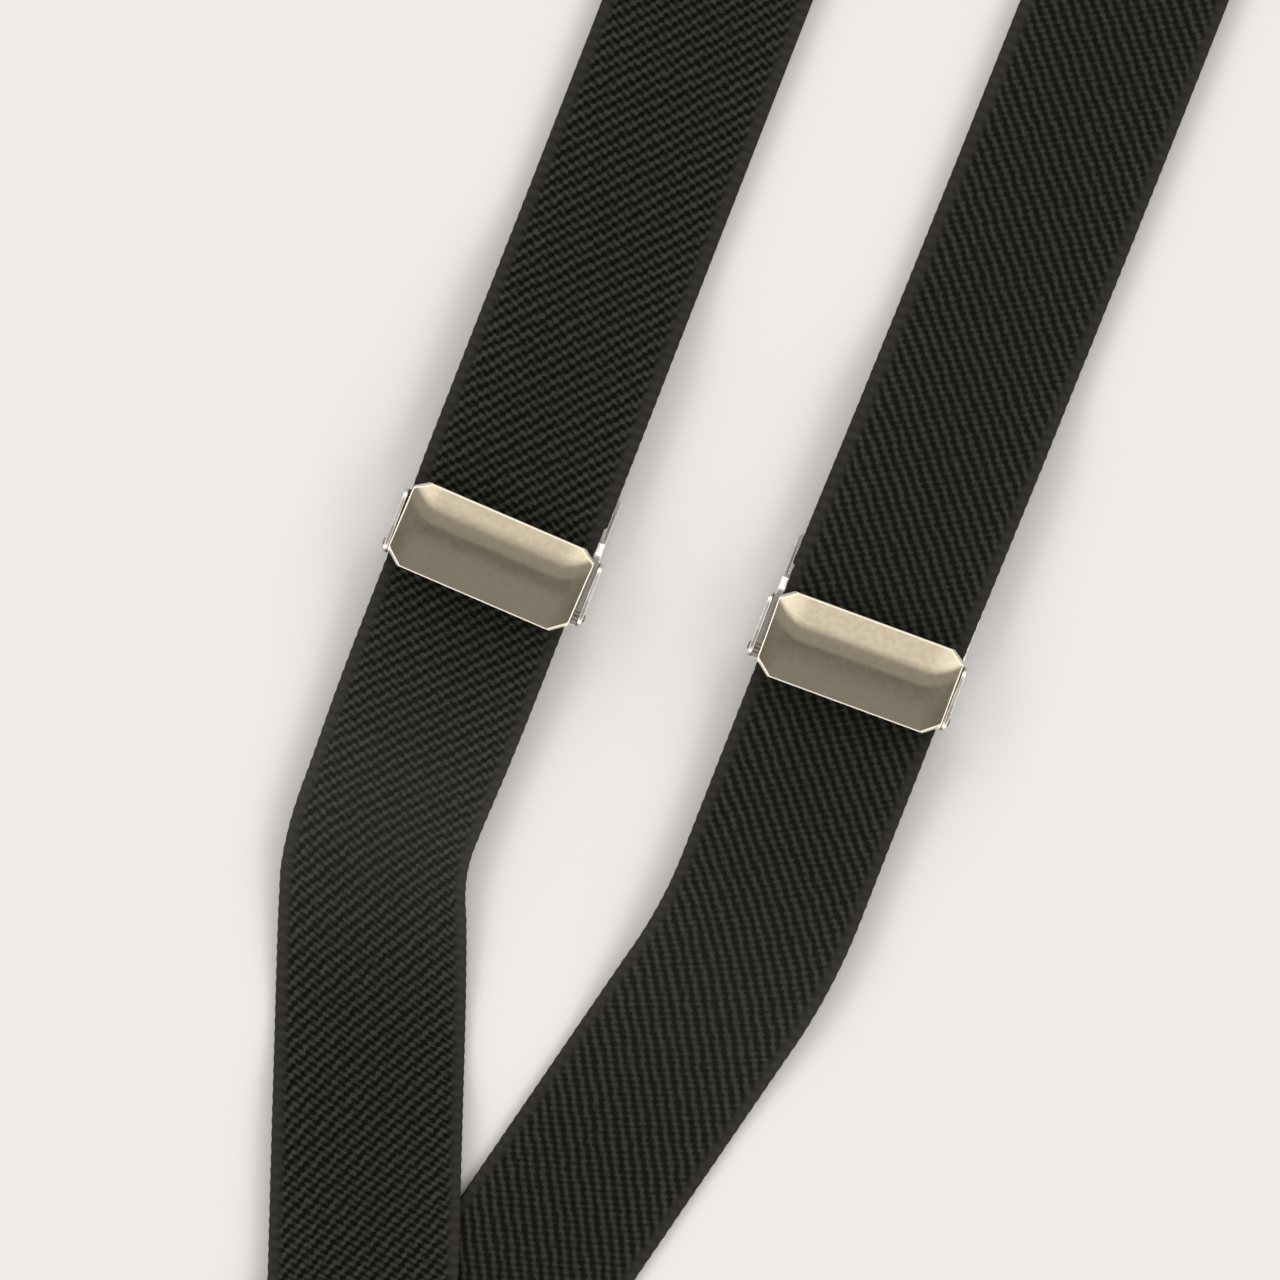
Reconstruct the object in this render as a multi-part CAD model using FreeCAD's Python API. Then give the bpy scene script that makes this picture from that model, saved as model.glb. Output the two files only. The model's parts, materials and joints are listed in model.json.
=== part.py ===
"""Y-back suspenders in 25 mm elastic webbing, laid out flat on a surface with the outer side up.

Two front straps run from a leather patch, bend until they are parallel, and pass through an adjuster
each. Every front strap turns round a ring that carries a clip, and comes back under itself to the
adjuster's tail bar, where its end is sewn. One back strap runs the other way to a third clip.

+Y points from the patch to the front clips, +Z up. The origin is under the middle of the patch, on the
surface that everything lies on. Lengths are in millimetres.
"""

import FreeCAD
import Part

import math
import os

Vec = FreeCAD.Vector

# --- Webbing ---------------------------------------------------------------------------------------
WEB_WIDTH = 24.8
WEB_THICK = 1.2
SEWN_GAP = 0.1  # between layers that are sewn together
HIGH_Z = 3.4  # underside of the front layer in an adjuster and over a ring bar
LOW_Z = 1.4  # underside of the front layer where it lies on the return layer

# --- Layout of the straps --------------------------------------------------------------------------
# A side's dimensions: how far its strap runs beside the middle, where and how tightly it bends, and
# where its adjuster and its ring sit. "inward" is the side's direction towards the other strap, and the
# two shifts say how far its parts sit from the strap's middle that way: cover_shift the cover plate,
# frame_shift the adjuster's frame with the strap end that is sewn on it, and the return layer.
SIDES = {
    "left": {"x": -29.1, "bend_y": 81.1, "bend_r": 30.0, "adjuster_y": 122.1, "ring_y": 520.0,
             "inward": 1, "cover_shift": 0.2, "frame_shift": 0.5, "end_y": -14.0,
             "lift": WEB_THICK + 0.05},
    "right": {"x": 20.4, "bend_y": 87.5, "bend_r": 70.0, "adjuster_y": 126.7, "ring_y": 522.3,
              "inward": -1, "cover_shift": 0.0, "frame_shift": 0.35, "end_y": -8.0,
              "lift": 0.0},
}
CROSSING_Y = 44.3  # the inner edges of the two front straps meet here
BACK_RING_Y = -185.0
BACK_SPLIT_Y = -138.0  # the sewn loop of the back strap starts here
BACK_START_Y = -12.5
BACK_TAIL = 32.0  # length of the tail sewn under the back strap, from the ring
GRIP_FROM, GRIP_TO = -30.0, 48.0  # the webbing that goes with an adjuster, from its middle
RISE_FROM, RISE_TO = -26.0, -10.0  # it rises to the adjuster here
DROP_FROM, DROP_TO = 31.5, 42.0  # and comes down on the return layer here
TURN_LEG = 20.0  # both layers that go with a ring, from its bar
TURN_RISE_FROM, TURN_RISE_TO = -16.0, -5.0
SKEW_LENGTH = 60.0  # the return layer moves in line with the front one along this stretch

# --- Leather patch ---------------------------------------------------------------------------------
PATCH_INNER_T = 1.0
PATCH_OUTER_T = 1.1
PATCH_TOP_Y = 20.0
PATCH_WAIST_Y = -3.0
PATCH_LOW_Y = -32.0
PATCH_TOP_HALF = 24.0
PATCH_WAIST_HALF = 22.5
PATCH_LOW_HALF = 15.0
PATCH_CORNER_R = 4.0
STITCH_INSET = 3.0
STITCH_R = 0.3
STITCH_LENGTH = 2.4
STITCH_PITCH = 3.4

# --- Adjuster --------------------------------------------------------------------------------------
# Its own y is counted from the middle of the cover plate, towards the clip.
FRAME_T = 0.7
FRAME_GAP = 0.2  # between the frame's floor and the strap
FRAME_INNER_HALF = 13.15
EAR_T = 0.55
EAR_FROM, EAR_TO = -4.4, 4.4
EAR_TOP_Z = 8.7
FLOOR_TO = 5.0
TAIL_FROM, TAIL_TO = 6.7, 13.4
TAIL_HALF = 12.95
TAIL_CHAMFER = 0.8
TAIL_WINDOW_FROM, TAIL_WINDOW_TO = 7.4, 11.0
TAIL_WINDOW_HALF = 12.5
PIN_Y = -3.1
PIN_Z = 7.5
PIN_R = 0.6
PIN_CLEAR = 0.06
PIN_HALF = 13.95
COVER_HALF_W = 12.7
COVER_HALF_L = 5.8
COVER_T = 0.7
COVER_TOP_Z = 8.9
COVER_FOLD_Y = 2.1  # the upper third slopes down from here
COVER_DROP = 2.3
COVER_RIM = 0.35
CHAMFER_TOP = 1.4
CHAMFER_LOW = 1.8
BLADE_T = 0.8
BLADE_FROM = 0.75  # behind the pin's axis
BLADE_GAP = 0.05  # between the blade's teeth and the strap
CHEEK_T = 0.7
CHEEK_R = 1.4
TOOTH_PITCH = 1.6
TOOTH_DEPTH = 0.8

# --- Sewn strap end on the tail bar ----------------------------------------------------------------
FOLD_GAP = 0.8
FOLD_TIP_Y = 9.2  # middle of the webbing at the bend, from the middle of the cover plate
FOLD_TOP_TO = 30.0
FOLD_LOW_TO = 36.0
FOLD_DROP_FROM, FOLD_DROP_TO = 15.0, 18.5
SEAM_R = 0.25
SEAM_ROWS = (21.0, 27.0)
BACK_SEAM_ROWS = (20.5, 28.5)
SEAM_STITCH = 1.9
SEAM_PITCH = 2.7
SEAM_COUNT = 8

# --- Ring ------------------------------------------------------------------------------------------
RING_WIRE_R = 1.0
RING_HALF_W = 14.0
RING_LENGTH = 7.0
RING_CORNER_R = 2.0

# --- Clip ------------------------------------------------------------------------------------------
# Its own y is counted from the strap bar of its ring, away from the strap.
CLIP_T = 1.0
CURL_CLEAR = 0.3
CURL_END = 0.3  # the curl ends this far below the bar's middle
TONGUE_HALF = 9.5
SHOULDER_Y = 12.0
CLIP_HALF = 13.0
CLIP_END_Y = 46.0
CLIP_LIP_Z = 2.9
CLIP_CHAMFER = 3.0
CLIP_EAR_FROM, CLIP_EAR_TO = 34.5, 43.5
CLIP_EAR_TOP_Z = 9.0
CLIP_PIN_Y = 40.0
CLIP_PIN_Z = 7.5
CLIP_PIN_R = 0.8
CLIP_PIN_HALF = 13.7
PAD_FROM, PAD_TO = 33.0, 44.2
PAD_HALF = 11.6
PAD_T = 1.3
PAD_RIDGES = 5
PAD_RIDGE_R = 0.35
LEVER_HALF = 11.8
LEVER_FROM, LEVER_TO = 18.0, 42.0
LEVER_T = 0.9
LEVER_TOP_Z = 9.6
LEVER_DIP_Y = 30.0
LEVER_DIP_Z = 6.4
LEVER_SAG = 0.6  # the plate is this much lower above the thumb's dip than at its highest line
LEVER_NOSE = 2.2  # its rounded nose starts this far before its end
LEVER_CHEEK_T = 0.8
LEVER_CHEEK_R = 1.7
LEVER_CHAMFER = 2.6
GRIP_T = 1.6
GRIP_HALF = 10.6
GRIP_GAP = 1.0  # the cloth that is held is this thick
GRIP_SEAT = 0.03

AXIS_Z = (WEB_THICK + HIGH_Z) / 2  # height of every ring bar
OUT = "parts"


# --- Outlines --------------------------------------------------------------------------------------


def in_yz(x=0.0):
    """Turns the outline's two coordinates into y and z."""
    return lambda a, b: Vec(x, a, b)


def in_xy(z=0.0):
    """Turns the outline's two coordinates into x and y."""
    return lambda a, b: Vec(a, b, z)


def rounded(points, place, closed=True):
    """Edges through points (a, b, radius): each corner with a radius becomes a tangent arc."""
    count = len(points)
    corners = []
    for i, (a, b, radius) in enumerate(points):
        here = Vec(a, b, 0)
        if radius <= 0 or (not closed and i in (0, count - 1)):
            corners.append((here, None, here))
            continue
        back = Vec(*points[i - 1][:2], 0) - here
        on = Vec(*points[(i + 1) % count][:2], 0) - here
        back.normalize()
        on.normalize()
        half = back.getAngle(on) / 2
        reach = radius / math.tan(half)
        middle = back + on
        middle.normalize()
        crown = here + middle * (radius / math.sin(half) - radius)
        corners.append((here + back * reach, crown, here + on * reach))
    edges = []
    for i, (start, crown, end) in enumerate(corners):
        if crown is not None:
            through = [place(point.x, point.y) for point in (start, crown, end)]
            edges.append(Part.Arc(*through).toShape())
        if i == count - 1 and not closed:
            break
        following = corners[(i + 1) % count][0]
        if (following - end).Length > 1e-6:
            edges.append(Part.LineSegment(place(end.x, end.y), place(following.x, following.y)).toShape())
    return edges


def face_of(points, place):
    """A flat face inside a closed outline."""
    return Part.Face(Part.Wire(rounded(points, place)))


def offset_side(path, distance):
    """The path moved sideways, to its left where distance is positive, with its radii kept concentric."""
    flat = [Vec(a, b, 0) for a, b, _ in path]
    moved = []
    for i, (_, _, radius) in enumerate(path):
        ways = []
        for near, far in ((i - 1, i), (i, i + 1)):
            if near >= 0 and far < len(path):
                way = flat[far] - flat[near]
                way.normalize()
                ways.append(way)
        turn = ways[0].cross(ways[-1]).z
        left = [Vec(-way.y, way.x, 0) for way in ways]
        across = left[0] + left[-1]
        across.normalize()
        point = flat[i] + across * (distance / across.dot(left[0]))
        grown = radius - distance if turn > 0 else radius + distance
        moved.append((point.x, point.y, max(grown, 0.0) if radius > 0 else 0.0))
    return moved


def band(path, thick, place):
    """A flat face of even thickness that follows the path (a, b, radius of the middle line)."""
    left = offset_side(path, thick / 2)
    right = offset_side(path, -thick / 2)
    edges = rounded(left, place, closed=False)
    edges += rounded(right[::-1], place, closed=False)
    ends = [(left[0], right[0]), (left[-1], right[-1])]
    edges += [Part.LineSegment(place(*a[:2]), place(*b[:2])).toShape() for a, b in ends]
    return Part.Face(Part.Wire(Part.__sortEdges__(edges)))


# --- Solids ----------------------------------------------------------------------------------------


def along_x(face, half):
    """The face, which lies in the plane x = 0, made a solid from -half to half."""
    moved = face.copy()
    moved.translate(Vec(-half, 0, 0))
    return moved.extrude(Vec(2 * half, 0, 0))


def box(x0, x1, y0, y1, z0, z1):
    return Part.makeBox(x1 - x0, y1 - y0, z1 - z0, Vec(x0, y0, z0))


def rod(x0, x1, y, z, radius):
    """A round bar along X."""
    return Part.makeCylinder(radius, x1 - x0, Vec(x0, y, z), Vec(1, 0, 0))


def domed_pin(half, y, z, radius):
    """A round bar along X with low domes on its ends."""
    bar = rod(-half, half, y, z, radius)
    return bar.makeFillet(radius * 0.6, [e for e in bar.Edges if isinstance(e.Curve, Part.Circle)])


def cropped(solid, half, y0, y1, low_cut, top_cut):
    """The solid inside an octagon in plan, with its corners cut by low_cut at y0 and top_cut at y1."""
    outline = [
        (-half + low_cut, y0, 0), (half - low_cut, y0, 0), (half, y0 + low_cut, 0), (half, y1 - top_cut, 0),
        (half - top_cut, y1, 0), (-half + top_cut, y1, 0), (-half, y1 - top_cut, 0), (-half, y0 + low_cut, 0),
    ]
    prism = face_of(outline, in_xy(-50.0)).extrude(Vec(0, 0, 100))
    return solid.common(prism)


def moved_to(shape, x, y, turned=False):
    """A copy of a sub-assembly's piece at its place; a turned one faces the other way along Y."""
    copy = shape.copy()
    if turned:
        copy.rotate(Vec(0, 0, 0), Vec(0, 0, 1), 180)
    copy.translate(Vec(x, y, 0))
    return copy


def group(solids):
    return Part.makeCompound(solids)


# --- Straps ----------------------------------------------------------------------------------------


def front_run(side):
    """A front strap from its end under the patch to the webbing that goes with its adjuster."""
    x, bend_y, lift = side["x"], side["bend_y"], side["lift"]
    end_x = x * side["end_y"] / bend_y
    stop_y = side["adjuster_y"] + GRIP_FROM
    plan = [(end_x, side["end_y"], 0), (x, bend_y, side["bend_r"]), (x, stop_y, 0)]
    footprint = band(plan, WEB_WIDTH, in_xy()).extrude(Vec(0, 0, 20))
    half = WEB_THICK / 2
    profile = [
        (side["end_y"] - 20, PATCH_INNER_T + lift + half, 0),
        (PATCH_TOP_Y + 1, PATCH_INNER_T + lift + half, 8),
        (PATCH_TOP_Y + 9, lift + half, 8),
    ]
    if lift:
        profile += [(CROSSING_Y + 2, lift + half, 12), (CROSSING_Y + 14, half, 12)]
    profile += [(stop_y + 20, half, 0)]
    return along_x(band(profile, WEB_THICK, in_yz()), 100).common(footprint)


def gripped_webbing():
    """The webbing in an adjuster: up from the surface, over the sewn end, down on the return layer."""
    half = WEB_THICK / 2
    path = [
        (GRIP_FROM, half, 0), (RISE_FROM, half, 12), (RISE_TO, HIGH_Z + half, 12),
        (DROP_FROM, HIGH_Z + half, 8), (DROP_TO, LOW_Z + half, 8), (GRIP_TO, LOW_Z + half, 0),
    ]
    return along_x(band(path, WEB_THICK, in_yz()), WEB_WIDTH / 2)


def turned_webbing():
    """The webbing that goes with a ring: the front layer, the turn round the bar and the return."""
    half = WEB_THICK / 2
    radius = AXIS_Z - half
    path = [
        (-TURN_LEG, LOW_Z + half, 0), (TURN_RISE_FROM, LOW_Z + half, 8), (TURN_RISE_TO, HIGH_Z + half, 8),
        (radius, HIGH_Z + half, radius), (radius, half, radius), (-TURN_LEG, half, 0),
    ]
    return along_x(band(path, WEB_THICK, in_yz()), WEB_WIDTH / 2)


def front_layer(side):
    """The straight stretch of front layer between the adjuster and the ring."""
    x, half = side["x"], WEB_WIDTH / 2
    y0, y1 = side["adjuster_y"] + GRIP_TO, side["ring_y"] - TURN_LEG
    return box(x - half, x + half, y0, y1, LOW_Z, LOW_Z + WEB_THICK)


def return_layer(side):
    """The layer underneath, from the turn to the sewn end; it runs a little nearer the other strap."""
    x, y_end = side["x"], side["ring_y"] - TURN_LEG
    near = x + side["inward"] * side["frame_shift"]
    plan = [(near, side["adjuster_y"] + FOLD_LOW_TO, 0), (near, y_end - SKEW_LENGTH, 400), (x, y_end, 0)]
    return band(plan, WEB_WIDTH, in_xy()).extrude(Vec(0, 0, WEB_THICK))


def strap_end():
    """The strap's end, folded round the tail bar and back on itself."""
    half = WEB_THICK / 2
    radius = (FOLD_GAP + WEB_THICK) / 2
    top = half + 2 * radius
    flap_z = WEB_THICK + SEWN_GAP + half
    path = [
        (FOLD_LOW_TO, half, 0), (FOLD_TIP_Y, half, radius), (FOLD_TIP_Y, top, radius),
        (FOLD_DROP_FROM, top, 3), (FOLD_DROP_TO, flap_z, 3), (FOLD_TOP_TO, flap_z, 0),
    ]
    return along_x(band(path, WEB_THICK, in_yz()), WEB_WIDTH / 2)


def seam(rows, z):
    """Rows of stitches across a strap, lying on its face at height z."""
    first = -SEAM_PITCH * (SEAM_COUNT - 1) / 2 - SEAM_STITCH / 2
    starts = [first + i * SEAM_PITCH for i in range(SEAM_COUNT)]
    return group([rod(x, x + SEAM_STITCH, y, z + SEAM_R, SEAM_R) for y in rows for x in starts])


def back_run():
    """The back strap from the patch to its sewn loop."""
    half = WEB_THICK / 2
    path = [
        (BACK_SPLIT_Y, half, 0), (PATCH_LOW_Y - 9, half, 8),
        (PATCH_LOW_Y - 1, PATCH_INNER_T + half, 8), (BACK_START_Y, PATCH_INNER_T + half, 0),
    ]
    return along_x(band(path, WEB_THICK, in_yz()), WEB_WIDTH / 2)


def back_loop():
    """The back strap's end: over its own tail, round the ring and back underneath."""
    y, half = BACK_RING_Y, WEB_THICK / 2
    radius = AXIS_Z - half
    over_z = WEB_THICK + SEWN_GAP + half
    path = [
        (BACK_SPLIT_Y, half, 0), (y + BACK_TAIL + 9, half, 6), (y + BACK_TAIL + 1, over_z, 6),
        (y + 16, over_z, 8), (y + 5, HIGH_Z + half, 8), (y - radius, HIGH_Z + half, radius),
        (y - radius, half, radius), (y + BACK_TAIL, half, 0),
    ]
    return along_x(band(path, WEB_THICK, in_yz()), WEB_WIDTH / 2)


# --- Patch -----------------------------------------------------------------------------------------


def patch_outline(inset=0.0):
    """The shield-shaped outline of the patch, as corner points with radii."""
    top, waist, low = PATCH_TOP_Y - inset, PATCH_WAIST_Y, PATCH_LOW_Y + inset
    wide, middle, narrow = PATCH_TOP_HALF - inset, PATCH_WAIST_HALF - inset, PATCH_LOW_HALF - inset
    radius = PATCH_CORNER_R - inset * 0.5
    right = [(wide, top, radius), (middle, waist, 30), (narrow, low, radius)]
    return right + [(-a, b, r) for a, b, r in right[::-1]]


def patch_layer(z, thick):
    return face_of(patch_outline(), in_xy(z)).extrude(Vec(0, 0, thick))


def patch_top_z():
    return PATCH_INNER_T + SIDES["left"]["lift"] + WEB_THICK + 0.05


def patch_stitching():
    """One row of stitches round the patch, lying on its outer face."""
    z = patch_top_z() + PATCH_OUTER_T + STITCH_R
    row = Part.Wire(Part.__sortEdges__(rounded(patch_outline(STITCH_INSET), in_xy(z))))
    count = round(row.Length / STITCH_PITCH)
    points = row.discretize(Number=count * 2 + 1)
    stitches = []
    for i in range(count):
        here, following = points[2 * i], points[2 * i + 1]
        way = following - here
        way.normalize()
        middle = (here + following) * 0.5
        stitches.append(Part.makeCylinder(STITCH_R, STITCH_LENGTH, middle - way * (STITCH_LENGTH / 2), way))
    return group(stitches)


# --- Adjuster --------------------------------------------------------------------------------------


def adjuster_frame():
    """Stamped frame: a floor under the strap, two ears for the pin, and a lower tail with its bar."""
    half_t = FRAME_T / 2
    floor_z = HIGH_Z - FRAME_GAP - half_t
    bar_z = WEB_THICK + FOLD_GAP / 2
    outer = FRAME_INNER_HALF + EAR_T
    path = [
        (EAR_FROM, floor_z, 0), (FLOOR_TO, floor_z, 0.8), (TAIL_FROM, bar_z, 0.8), (TAIL_TO, bar_z, 0),
    ]
    sheet = along_x(band(path, FRAME_T, in_yz()), outer)
    floor = box(-outer, outer, EAR_FROM, EAR_TO, 0, 20)
    tail = box(-TAIL_HALF, TAIL_HALF, EAR_TO, TAIL_TO, 0, 20)
    tail = cropped(tail, TAIL_HALF, EAR_TO - 1, TAIL_TO, 0.5, TAIL_CHAMFER)
    sheet = sheet.common(floor.fuse(tail))
    half = TAIL_WINDOW_HALF
    window = box(-half, half, TAIL_WINDOW_FROM, TAIL_WINDOW_TO, 0, 20)
    solid = sheet.cut(window)
    ear_outline = [
        (EAR_FROM, floor_z - half_t, 0), (EAR_TO, floor_z - half_t, 0),
        (EAR_TO, EAR_TOP_Z - 1.3, 2.0), (EAR_FROM + 3.5, EAR_TOP_Z, 1.5), (EAR_FROM, EAR_TOP_Z, 1.5),
    ]
    for way in (-1, 1):
        ear = face_of(ear_outline, in_yz(way * FRAME_INNER_HALF)).extrude(Vec(way * EAR_T, 0, 0))
        solid = solid.fuse(ear)
    hole = rod(-20, 20, PIN_Y, PIN_Z, PIN_R + PIN_CLEAR)
    return solid.cut(hole).removeSplitter()


def teeth_cutter(half, y0, y1, tip_z, depth):
    """Notches that leave a row of pointed teeth ending at tip_z."""
    count = int(2 * half / TOOTH_PITCH)
    first = -TOOTH_PITCH * count / 2
    notches = []
    for i in range(count + 1):
        middle = first + i * TOOTH_PITCH
        outline = [
            (middle - TOOTH_PITCH / 2, tip_z - 0.3, 0), (middle + TOOTH_PITCH / 2, tip_z - 0.3, 0),
            (middle, tip_z + depth, 0),
        ]
        edges = rounded(outline, lambda a, b: Vec(a, y0, b))
        notches.append(Part.Face(Part.Wire(edges)).extrude(Vec(0, y1 - y0, 0)))
    return notches


def adjuster_lever():
    """Cover plate with its upper third sloped, a toothed blade over the strap, and two pin cheeks."""
    half_t = COVER_T / 2
    mid_z = COVER_TOP_Z - half_t
    path = [
        (-COVER_HALF_L, mid_z - COVER_RIM, 0), (-COVER_HALF_L + 1.3, mid_z, 2.0),
        (COVER_FOLD_Y, mid_z, 3.0), (COVER_HALF_L, mid_z - COVER_DROP, 0),
    ]
    plate = along_x(band(path, COVER_T, in_yz()), COVER_HALF_W)
    plate = cropped(plate, COVER_HALF_W, -COVER_HALF_L, COVER_HALF_L, CHAMFER_LOW, CHAMFER_TOP)
    under_z = COVER_TOP_Z - COVER_T
    blade_y = PIN_Y + BLADE_FROM
    blade_half = COVER_HALF_W - CHEEK_T - 0.4
    tip_z = HIGH_Z + WEB_THICK + BLADE_GAP
    blade = box(-blade_half, blade_half, blade_y, blade_y + BLADE_T, tip_z, under_z + 0.2)
    for notch in teeth_cutter(blade_half, blade_y - 1, blade_y + BLADE_T + 1, tip_z, TOOTH_DEPTH):
        blade = blade.cut(notch)
    solid = plate.fuse(blade)
    for way in (-1, 1):
        x0 = way * (COVER_HALF_W - CHEEK_T) if way > 0 else -COVER_HALF_W
        disc = rod(x0, x0 + CHEEK_T, PIN_Y, PIN_Z, CHEEK_R)
        web = box(x0, x0 + CHEEK_T, PIN_Y - CHEEK_R, PIN_Y + CHEEK_R, PIN_Z, under_z + 0.2)
        solid = solid.fuse(disc.fuse(web))
    hole = rod(-20, 20, PIN_Y, PIN_Z, PIN_R + PIN_CLEAR)
    return solid.cut(hole).removeSplitter()


def adjuster_pieces():
    return {
        "adjuster_frame": adjuster_frame(),
        "adjuster_pin": domed_pin(PIN_HALF, PIN_Y, PIN_Z, PIN_R),
        "adjuster_lever": adjuster_lever(),
    }


def end_pieces():
    return {
        "strap_end": strap_end(),
        "strap_end_seam": seam(SEAM_ROWS, 2 * WEB_THICK + SEWN_GAP),
    }


# --- Ring and clip ---------------------------------------------------------------------------------


def wire_ring():
    """Rectangular wire ring with round corners; its strap bar lies on y = 0."""
    outline = [
        (-RING_HALF_W, 0, RING_CORNER_R), (RING_HALF_W, 0, RING_CORNER_R),
        (RING_HALF_W, RING_LENGTH, RING_CORNER_R), (-RING_HALF_W, RING_LENGTH, RING_CORNER_R),
    ]
    path = Part.Wire(Part.__sortEdges__(rounded(outline, in_xy(AXIS_Z))))
    start = path.Vertexes[0].Point
    way = path.Edges[0].tangentAt(path.Edges[0].FirstParameter)
    section = Part.Wire(Part.makeCircle(RING_WIRE_R, start, way))
    return path.makePipeShell([section], True, False)


def clip_base():
    """Stamped base: a tongue curled round the ring, a floor, a toothed lip and two ears for the pin."""
    half_t = CLIP_T / 2
    radius = RING_WIRE_R + CURL_CLEAR + half_t
    mid_z = AXIS_Z - radius
    top_z = AXIS_Z + radius
    left_y = RING_LENGTH - radius
    floor = [
        (left_y, AXIS_Z, 0), (left_y, mid_z, radius), (CLIP_END_Y - half_t, mid_z, 1.0),
        (CLIP_END_Y - half_t, CLIP_LIP_Z, 0),
    ]
    curl = [
        (left_y, AXIS_Z, 0), (left_y, top_z, radius), (RING_LENGTH + radius, top_z, radius),
        (RING_LENGTH + radius, AXIS_Z - CURL_END, 0),
    ]
    sheet = along_x(band(floor, CLIP_T, in_yz()), CLIP_HALF)
    narrow = box(-TONGUE_HALF, TONGUE_HALF, 0, SHOULDER_Y + 1, -1, 20)
    wide = cropped(
        box(-CLIP_HALF, CLIP_HALF, SHOULDER_Y, CLIP_END_Y, -1, 20),
        CLIP_HALF, SHOULDER_Y, CLIP_END_Y, CLIP_CHAMFER, CLIP_CHAMFER * 0.5,
    )
    solid = sheet.common(narrow.fuse(wide))
    solid = solid.fuse(along_x(band(curl, CLIP_T, in_yz()), TONGUE_HALF))
    ear_outline = [
        (CLIP_EAR_FROM, 0, 0), (CLIP_EAR_TO, 0, 0), (CLIP_EAR_TO, CLIP_EAR_TOP_Z, 2.8),
        (CLIP_EAR_FROM + 2.5, CLIP_EAR_TOP_Z, 3.0), (CLIP_EAR_FROM, 3.0, 2.0),
    ]
    for way in (-1, 1):
        ear = face_of(ear_outline, in_yz(way * (CLIP_HALF - CLIP_T))).extrude(Vec(way * CLIP_T, 0, 0))
        solid = solid.fuse(ear)
    hole = rod(-20, 20, CLIP_PIN_Y, CLIP_PIN_Z, CLIP_PIN_R + PIN_CLEAR)
    return solid.cut(hole).removeSplitter()


def clip_pad():
    """Nylon pad on the base, with ridges across it."""
    pad = box(-PAD_HALF, PAD_HALF, PAD_FROM, PAD_TO, CLIP_T, CLIP_T + PAD_T)
    pitch = (PAD_TO - PAD_FROM) / (PAD_RIDGES + 1)
    for i in range(PAD_RIDGES):
        ridge = rod(-PAD_HALF, PAD_HALF, PAD_FROM + (i + 1) * pitch, CLIP_T + PAD_T, PAD_RIDGE_R)
        pad = pad.fuse(ridge)
    return pad.removeSplitter()


def clip_lever():
    """Cover plate with a dip for the thumb, and two cheeks that turn on the pin."""
    half_t = LEVER_T / 2
    mid_z = LEVER_TOP_Z - half_t
    path = [
        (LEVER_FROM, LEVER_DIP_Z, 0), (LEVER_FROM + 4.5, LEVER_DIP_Z - 0.3, 8),
        (LEVER_DIP_Y, mid_z - LEVER_SAG, 14), (LEVER_TO - LEVER_NOSE, mid_z, 3.0),
        (LEVER_TO, mid_z - 1.6, 0),
    ]
    plate = along_x(band(path, LEVER_T, in_yz()), LEVER_HALF)
    plate = cropped(plate, LEVER_HALF, LEVER_FROM - 1, LEVER_TO + 1, LEVER_CHAMFER, LEVER_CHAMFER)
    solid = plate
    for way in (-1, 1):
        x0 = LEVER_HALF - LEVER_CHEEK_T if way > 0 else -LEVER_HALF
        disc = rod(x0, x0 + LEVER_CHEEK_T, CLIP_PIN_Y, CLIP_PIN_Z, LEVER_CHEEK_R)
        outline = [
            (CLIP_PIN_Y - 4.0, mid_z - 0.4, 0), (CLIP_PIN_Y + 1.6, mid_z - 0.2, 0),
            (CLIP_PIN_Y + LEVER_CHEEK_R, CLIP_PIN_Z, 0), (CLIP_PIN_Y - LEVER_CHEEK_R, CLIP_PIN_Z, 0),
        ]
        web = face_of(outline, in_yz(x0)).extrude(Vec(LEVER_CHEEK_T, 0, 0))
        solid = solid.fuse(disc.fuse(web))
    hole = rod(-20, 20, CLIP_PIN_Y, CLIP_PIN_Z, CLIP_PIN_R + PIN_CLEAR)
    return solid.cut(hole).removeSplitter()


def lever_under(y):
    """Height of the cover plate's underside where the grip meets it."""
    mid_z = LEVER_TOP_Z - LEVER_T / 2
    return mid_z - LEVER_SAG * (LEVER_TO - LEVER_NOSE - y) / (LEVER_TO - LEVER_NOSE - LEVER_DIP_Y) - LEVER_T / 2


def clip_grip():
    """Nylon jaw under the lever: it hangs between the cheeks and presses the cloth on the pad."""
    tip_z = CLIP_T + PAD_T + PAD_RIDGE_R + GRIP_GAP
    back_y = CLIP_PIN_Y - CLIP_PIN_R - PIN_CLEAR - 0.25
    front_y = back_y - GRIP_T - 1.2
    outline = [
        (back_y, lever_under(back_y) - GRIP_SEAT, 0), (front_y, lever_under(front_y) - GRIP_SEAT, 0),
        (back_y - GRIP_T, tip_z, 0.4), (back_y - 0.2, tip_z, 0.4),
    ]
    grip = along_x(face_of(outline, in_yz()), GRIP_HALF)
    for notch in teeth_cutter(GRIP_HALF, back_y - GRIP_T - 2, back_y + 1, tip_z, TOOTH_DEPTH * 0.7):
        grip = grip.cut(notch)
    return grip


def clip_pieces():
    return {
        "ring": wire_ring(),
        "clip_base": clip_base(),
        "clip_pad": clip_pad(),
        "clip_pin": domed_pin(CLIP_PIN_HALF, CLIP_PIN_Y, CLIP_PIN_Z, CLIP_PIN_R),
        "clip_lever": clip_lever(),
        "clip_grip": clip_grip(),
    }


# --- The whole object ------------------------------------------------------------------------------


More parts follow.
